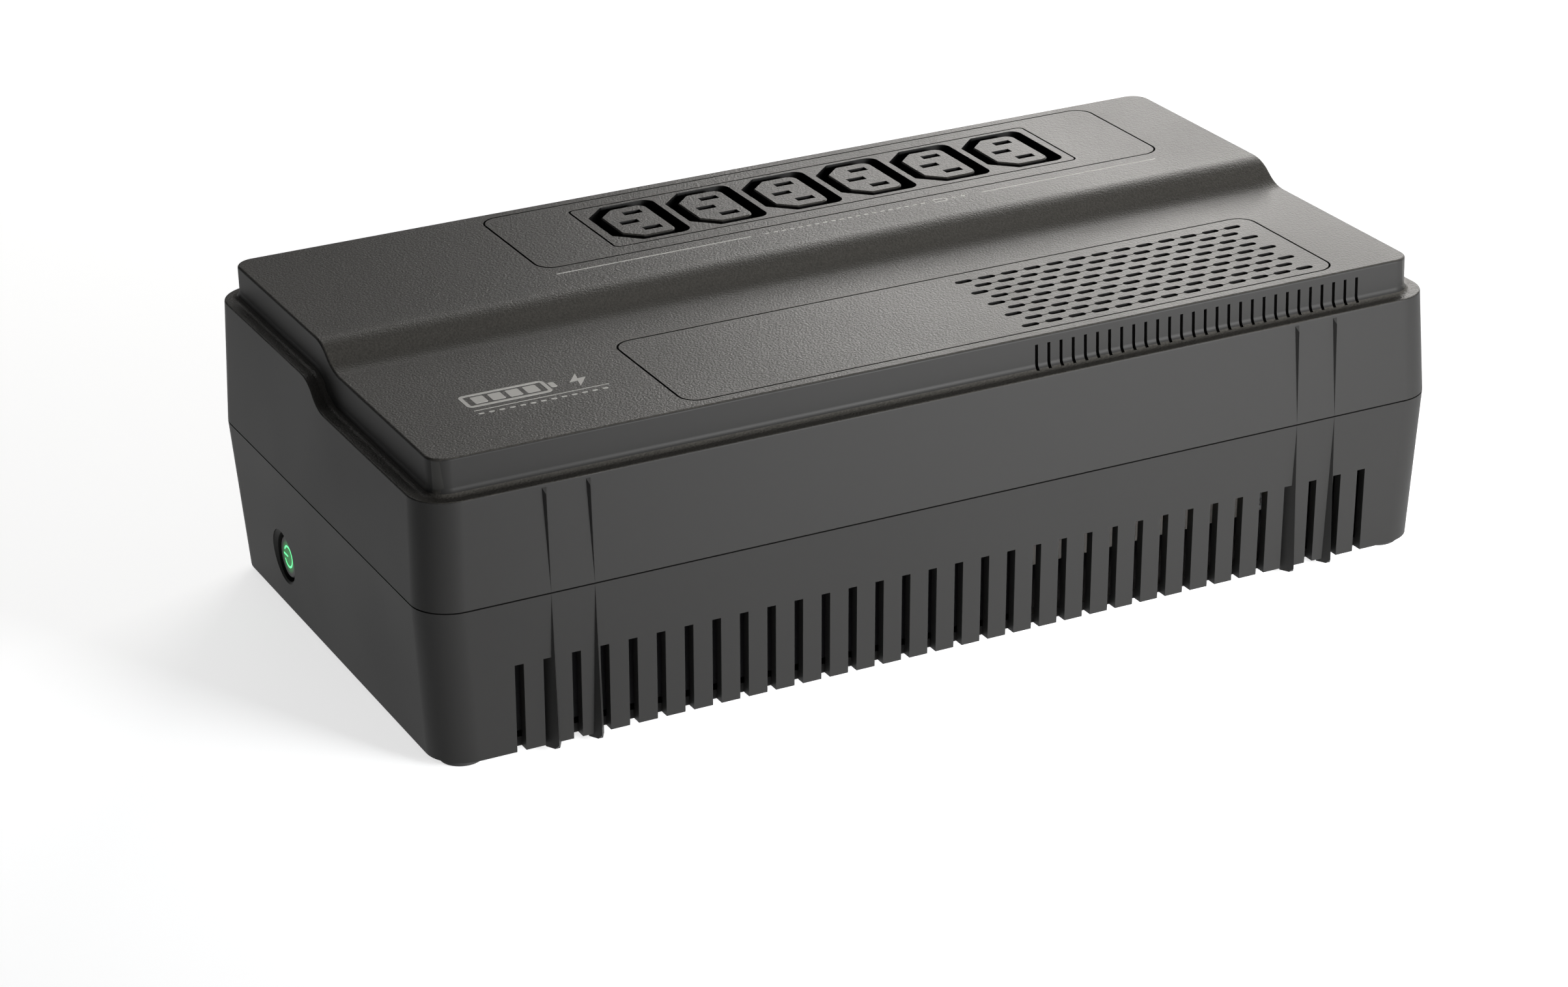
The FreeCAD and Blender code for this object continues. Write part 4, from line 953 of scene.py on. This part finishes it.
@dataclass
class TopPrint:
    """Printed line, pictograms and the emblem on the cover.

    A tile's size is its width, depth and corner radius, and a rim's size ends with its line.
    The line's places are in the CAD frame. The emblem's shifts count from its own centre,
    and its tip, bars and bolt sit along the middle of its rim.
    """

    shop: Workshop
    line_y: float = 19.2 * MM
    line_width: float = 0.42 * MM
    line_spans: tuple[tuple[float, float], ...] = ((-71.7 * MM, -12.2 * MM),
                                                   (61.2 * MM, 119.2 * MM))
    dash: Sizes = (1.5 * MM, 0.55 * MM, 0.25 * MM)
    dash_span: tuple[float, float] = (-8.5 * MM, 44.0 * MM)
    dash_pitch: float = 2.6 * MM
    cell_rim: Sizes = (4.0 * MM, 2.4 * MM, 0.3 * MM, 0.35 * MM)
    cell_x: float = 47.6 * MM
    cell_tip: Sizes = (0.5 * MM, 1.1 * MM, 0.0)
    cell_tip_x: float = 49.9 * MM
    plus: Sizes = (1.7 * MM, 0.4 * MM)
    plus_x: float = 52.2 * MM
    bolt_height: float = 3.0 * MM
    bolt_x: float = 55.2 * MM
    emblem_centre: tuple[float, float] = (-105.6 * MM, -44.6 * MM)
    emblem_rim: Sizes = (24.0 * MM, 8.6 * MM, 1.6 * MM, 1.1 * MM)
    emblem_rim_shift: tuple[float, float] = (-7.0 * MM, 3.0 * MM)
    emblem_tip: Sizes = (1.7 * MM, 3.6 * MM, 0.5 * MM)
    emblem_tip_x: float = 13.3 * MM
    emblem_bar: Sizes = (3.6 * MM, 4.6 * MM, 0.4 * MM)
    emblem_bar_count: int = 4
    emblem_bar_pitch: float = 4.9 * MM
    emblem_bolt_height: float = 8.6 * MM
    emblem_bolt_x: float = 20.5 * MM
    emblem_rule: Sizes = (38.0 * MM, 0.3 * MM, 0.0)
    emblem_rule_shift: tuple[float, float] = (0.5 * MM, -3.6 * MM)
    emblem_dash: Sizes = (1.6 * MM, 0.8 * MM, 0.35 * MM)
    emblem_dash_count: int = 13
    emblem_dash_pitch: float = 2.9 * MM
    emblem_dash_y: float = -6.0 * MM

    def build(self) -> None:
        """Make both prints."""
        self._outlet_line()
        self._emblem()

    def _outlet_line(self) -> None:
        """Line on both sides of a dotted row and three pictograms: battery, plus, bolt."""
        ink = Print(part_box("outlet_panel")[1].z)
        for start, end in self.line_spans:
            ink.add(flat_tile(end - start, self.line_width, 0.0), (start + end) / 2, self.line_y)
        start, end = self.dash_span
        count = int((end - start) / self.dash_pitch)
        middle = start + count * self.dash_pitch / 2
        self._row(ink, self.dash, count, self.dash_pitch, (middle, self.line_y))
        ink.add(rim_tile(*self.cell_rim), self.cell_x, self.line_y)
        ink.add(flat_tile(*self.cell_tip), self.cell_tip_x, self.line_y)
        ink.add(cross_tile(*self.plus), self.plus_x, self.line_y)
        ink.add(self._bolt(self.bolt_height), self.bolt_x, self.line_y)
        self.shop.piece("outlet_line_print", ink.mesh, "print_ink", CASE_BODY)

    def _emblem(self) -> None:
        """Plain battery sign with charge bars over a thin rule and a dotted row."""
        x, y = self.emblem_centre
        rim_x, rim_y = x + self.emblem_rim_shift[0], y + self.emblem_rim_shift[1]
        ink = Print(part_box("vent_panel")[1].z)
        ink.add(rim_tile(*self.emblem_rim), rim_x, rim_y)
        ink.add(flat_tile(*self.emblem_tip, FEW_SEGMENTS), rim_x + self.emblem_tip_x, rim_y)
        self._row(ink, self.emblem_bar, self.emblem_bar_count, self.emblem_bar_pitch,
                  (rim_x, rim_y))
        ink.add(self._bolt(self.emblem_bolt_height), rim_x + self.emblem_bolt_x, rim_y)
        ink.add(flat_tile(*self.emblem_rule), x + self.emblem_rule_shift[0],
                y + self.emblem_rule_shift[1])
        self._row(ink, self.emblem_dash, self.emblem_dash_count, self.emblem_dash_pitch,
                  (x, y + self.emblem_dash_y))
        self.shop.piece("emblem_print", ink.mesh, "print_ink", CASE_BODY)

    @staticmethod
    def _row(ink: Print, size: Sizes, count: int, pitch: float,
             middle: tuple[float, float]) -> None:
        """Print a row of equal tiles along X.

        Args:
            ink: Print to add to.
            size: Width, depth and corner radius of each tile.
            count: Number of tiles.
            pitch: Distance from tile to tile.
            middle: Place of the row's middle.
        """
        for index in range(count):
            x = middle[0] + (index - (count - 1) / 2) * pitch
            ink.add(flat_tile(*size, FEW_SEGMENTS), x, middle[1])

    @staticmethod
    def _bolt(height: float) -> bmesh.types.BMesh:
        """Lightning bolt of a given height, centred."""
        corners = ((0.12, 0.5), (-0.3, -0.08), (-0.04, -0.08), (-0.12, -0.5), (0.3, 0.1),
                   (0.03, 0.1))
        return polygon_tile((x * height, y * height) for x, y in corners)


# ---- studio ------------------------------------------------------------------------------
@dataclass(frozen=True)
class Softbox:
    """One rectangular light that faces a point."""

    name: str
    place: tuple[float, float, float]
    target: tuple[float, float, float]
    size: tuple[float, float]
    power: float
    colour: Colour = (1.0, 1.0, 1.0)
    spread_deg: float = 180.0

    def build(self) -> None:
        """Hang the light."""
        light = bpy.data.lights.new(self.name, "AREA")
        light.shape = "RECTANGLE"
        light.size, light.size_y = self.size
        light.energy = self.power
        light.color = self.colour
        light.spread = math.radians(self.spread_deg)
        lamp = bpy.data.objects.new(self.name, light)
        lamp.location = self.place
        heading = Vector(self.target) - Vector(self.place)
        lamp.rotation_euler = heading.to_track_quat("-Z", "Y").to_euler()
        bpy.context.scene.collection.objects.link(lamp)


@dataclass(frozen=True)
class Viewpoint:
    """Camera in front of the object, to its left and above it."""

    place: tuple[float, float, float] = (-0.4817, -0.9808, 0.4941)
    azimuth_deg: float = 25.52
    tilt_deg: float = 23.52
    roll_deg: float = -1.64
    lens_mm: float = 96.07
    sensor_mm: float = 36.0

    def build(self) -> None:
        """Set the camera from its heading, tilt and roll."""
        azimuth = math.radians(self.azimuth_deg)
        tilt = math.radians(self.tilt_deg)
        roll = math.radians(self.roll_deg)
        ahead = Vector((math.sin(azimuth) * math.cos(tilt), math.cos(azimuth) * math.cos(tilt),
                        -math.sin(tilt)))
        level_right = Vector((math.cos(azimuth), -math.sin(azimuth), 0.0))
        level_up = level_right.cross(ahead)
        right = level_right * math.cos(roll) + level_up * math.sin(roll)
        up = right.cross(ahead)
        data = bpy.data.cameras.new("view")
        data.lens = self.lens_mm
        data.sensor_width = self.sensor_mm
        camera = bpy.data.objects.new("view", data)
        axes = Matrix((right, up, -ahead)).transposed().to_4x4()
        camera.matrix_world = Matrix.Translation(self.place) @ axes
        bpy.context.scene.collection.objects.link(camera)
        bpy.context.scene.camera = camera


@dataclass
class Studio:
    """Pale floor, soft lights and the surrounding glow."""

    shop: Workshop
    floor_half: float = 4.0
    floor_cells: int = 8
    glow: Colour = (1.0, 1.0, 1.0)
    glow_strength: float = 0.04
    lights: tuple[Softbox, ...] = (
        Softbox("back_right", place=(1.0, 1.0, 0.57), target=(0.04, 0.0, 0.08), size=(1.0, 0.5),
                power=10.0, colour=(1.0, 0.975, 0.94)),
        Softbox("back_high", place=(0.35, 1.15, 1.0), target=(0.05, 0.02, 0.08),
                size=(1.3, 0.35), power=3.0, colour=(1.0, 0.98, 0.95)),
        Softbox("front_right", place=(0.3, -0.66, 0.16), target=(0.03, -0.08, 0.05),
                size=(0.35, 0.25), power=1.9, spread_deg=70.0),
        Softbox("overhead", place=(0.0, -0.1, 2.0), target=(0.0, 0.0, 0.0), size=(2.2, 2.2),
                power=1.5),
    )

    def build(self) -> None:
        """Lay the floor, hang the lights and set the glow."""
        mesh = bmesh.new()
        bmesh.ops.create_grid(mesh, x_segments=self.floor_cells, y_segments=self.floor_cells,
                              size=self.floor_half)
        data = bpy.data.meshes.new("floor")
        mesh.to_mesh(data)
        mesh.free()
        data.materials.append(self.shop.material("studio_floor"))
        floor = bpy.data.objects.new("floor", data)
        bpy.context.scene.collection.objects.link(floor)
        for light in self.lights:
            light.build()
        world = bpy.data.worlds.new("glow")
        world.use_nodes = True
        background = world.node_tree.nodes["Background"]
        background.inputs["Color"].default_value = (*self.glow, 1.0)
        background.inputs["Strength"].default_value = self.glow_strength
        bpy.context.scene.world = world
        bpy.context.scene.view_settings.view_transform = "Standard"


def main() -> None:
    """Build every sub-assembly in order, then the studio."""
    logging.basicConfig(level=logging.INFO)
    shop = Workshop()
    Viewpoint().build()
    for assembly in (CaseShells(shop), OutletRow(shop), ButtonGroup(shop), InletGroup(shop),
                     Internals(shop), TopPrint(shop), Studio(shop)):
        LOG.info("building %s", type(assembly).__name__)
        assembly.build()


if __name__ == "__main__":
    main()
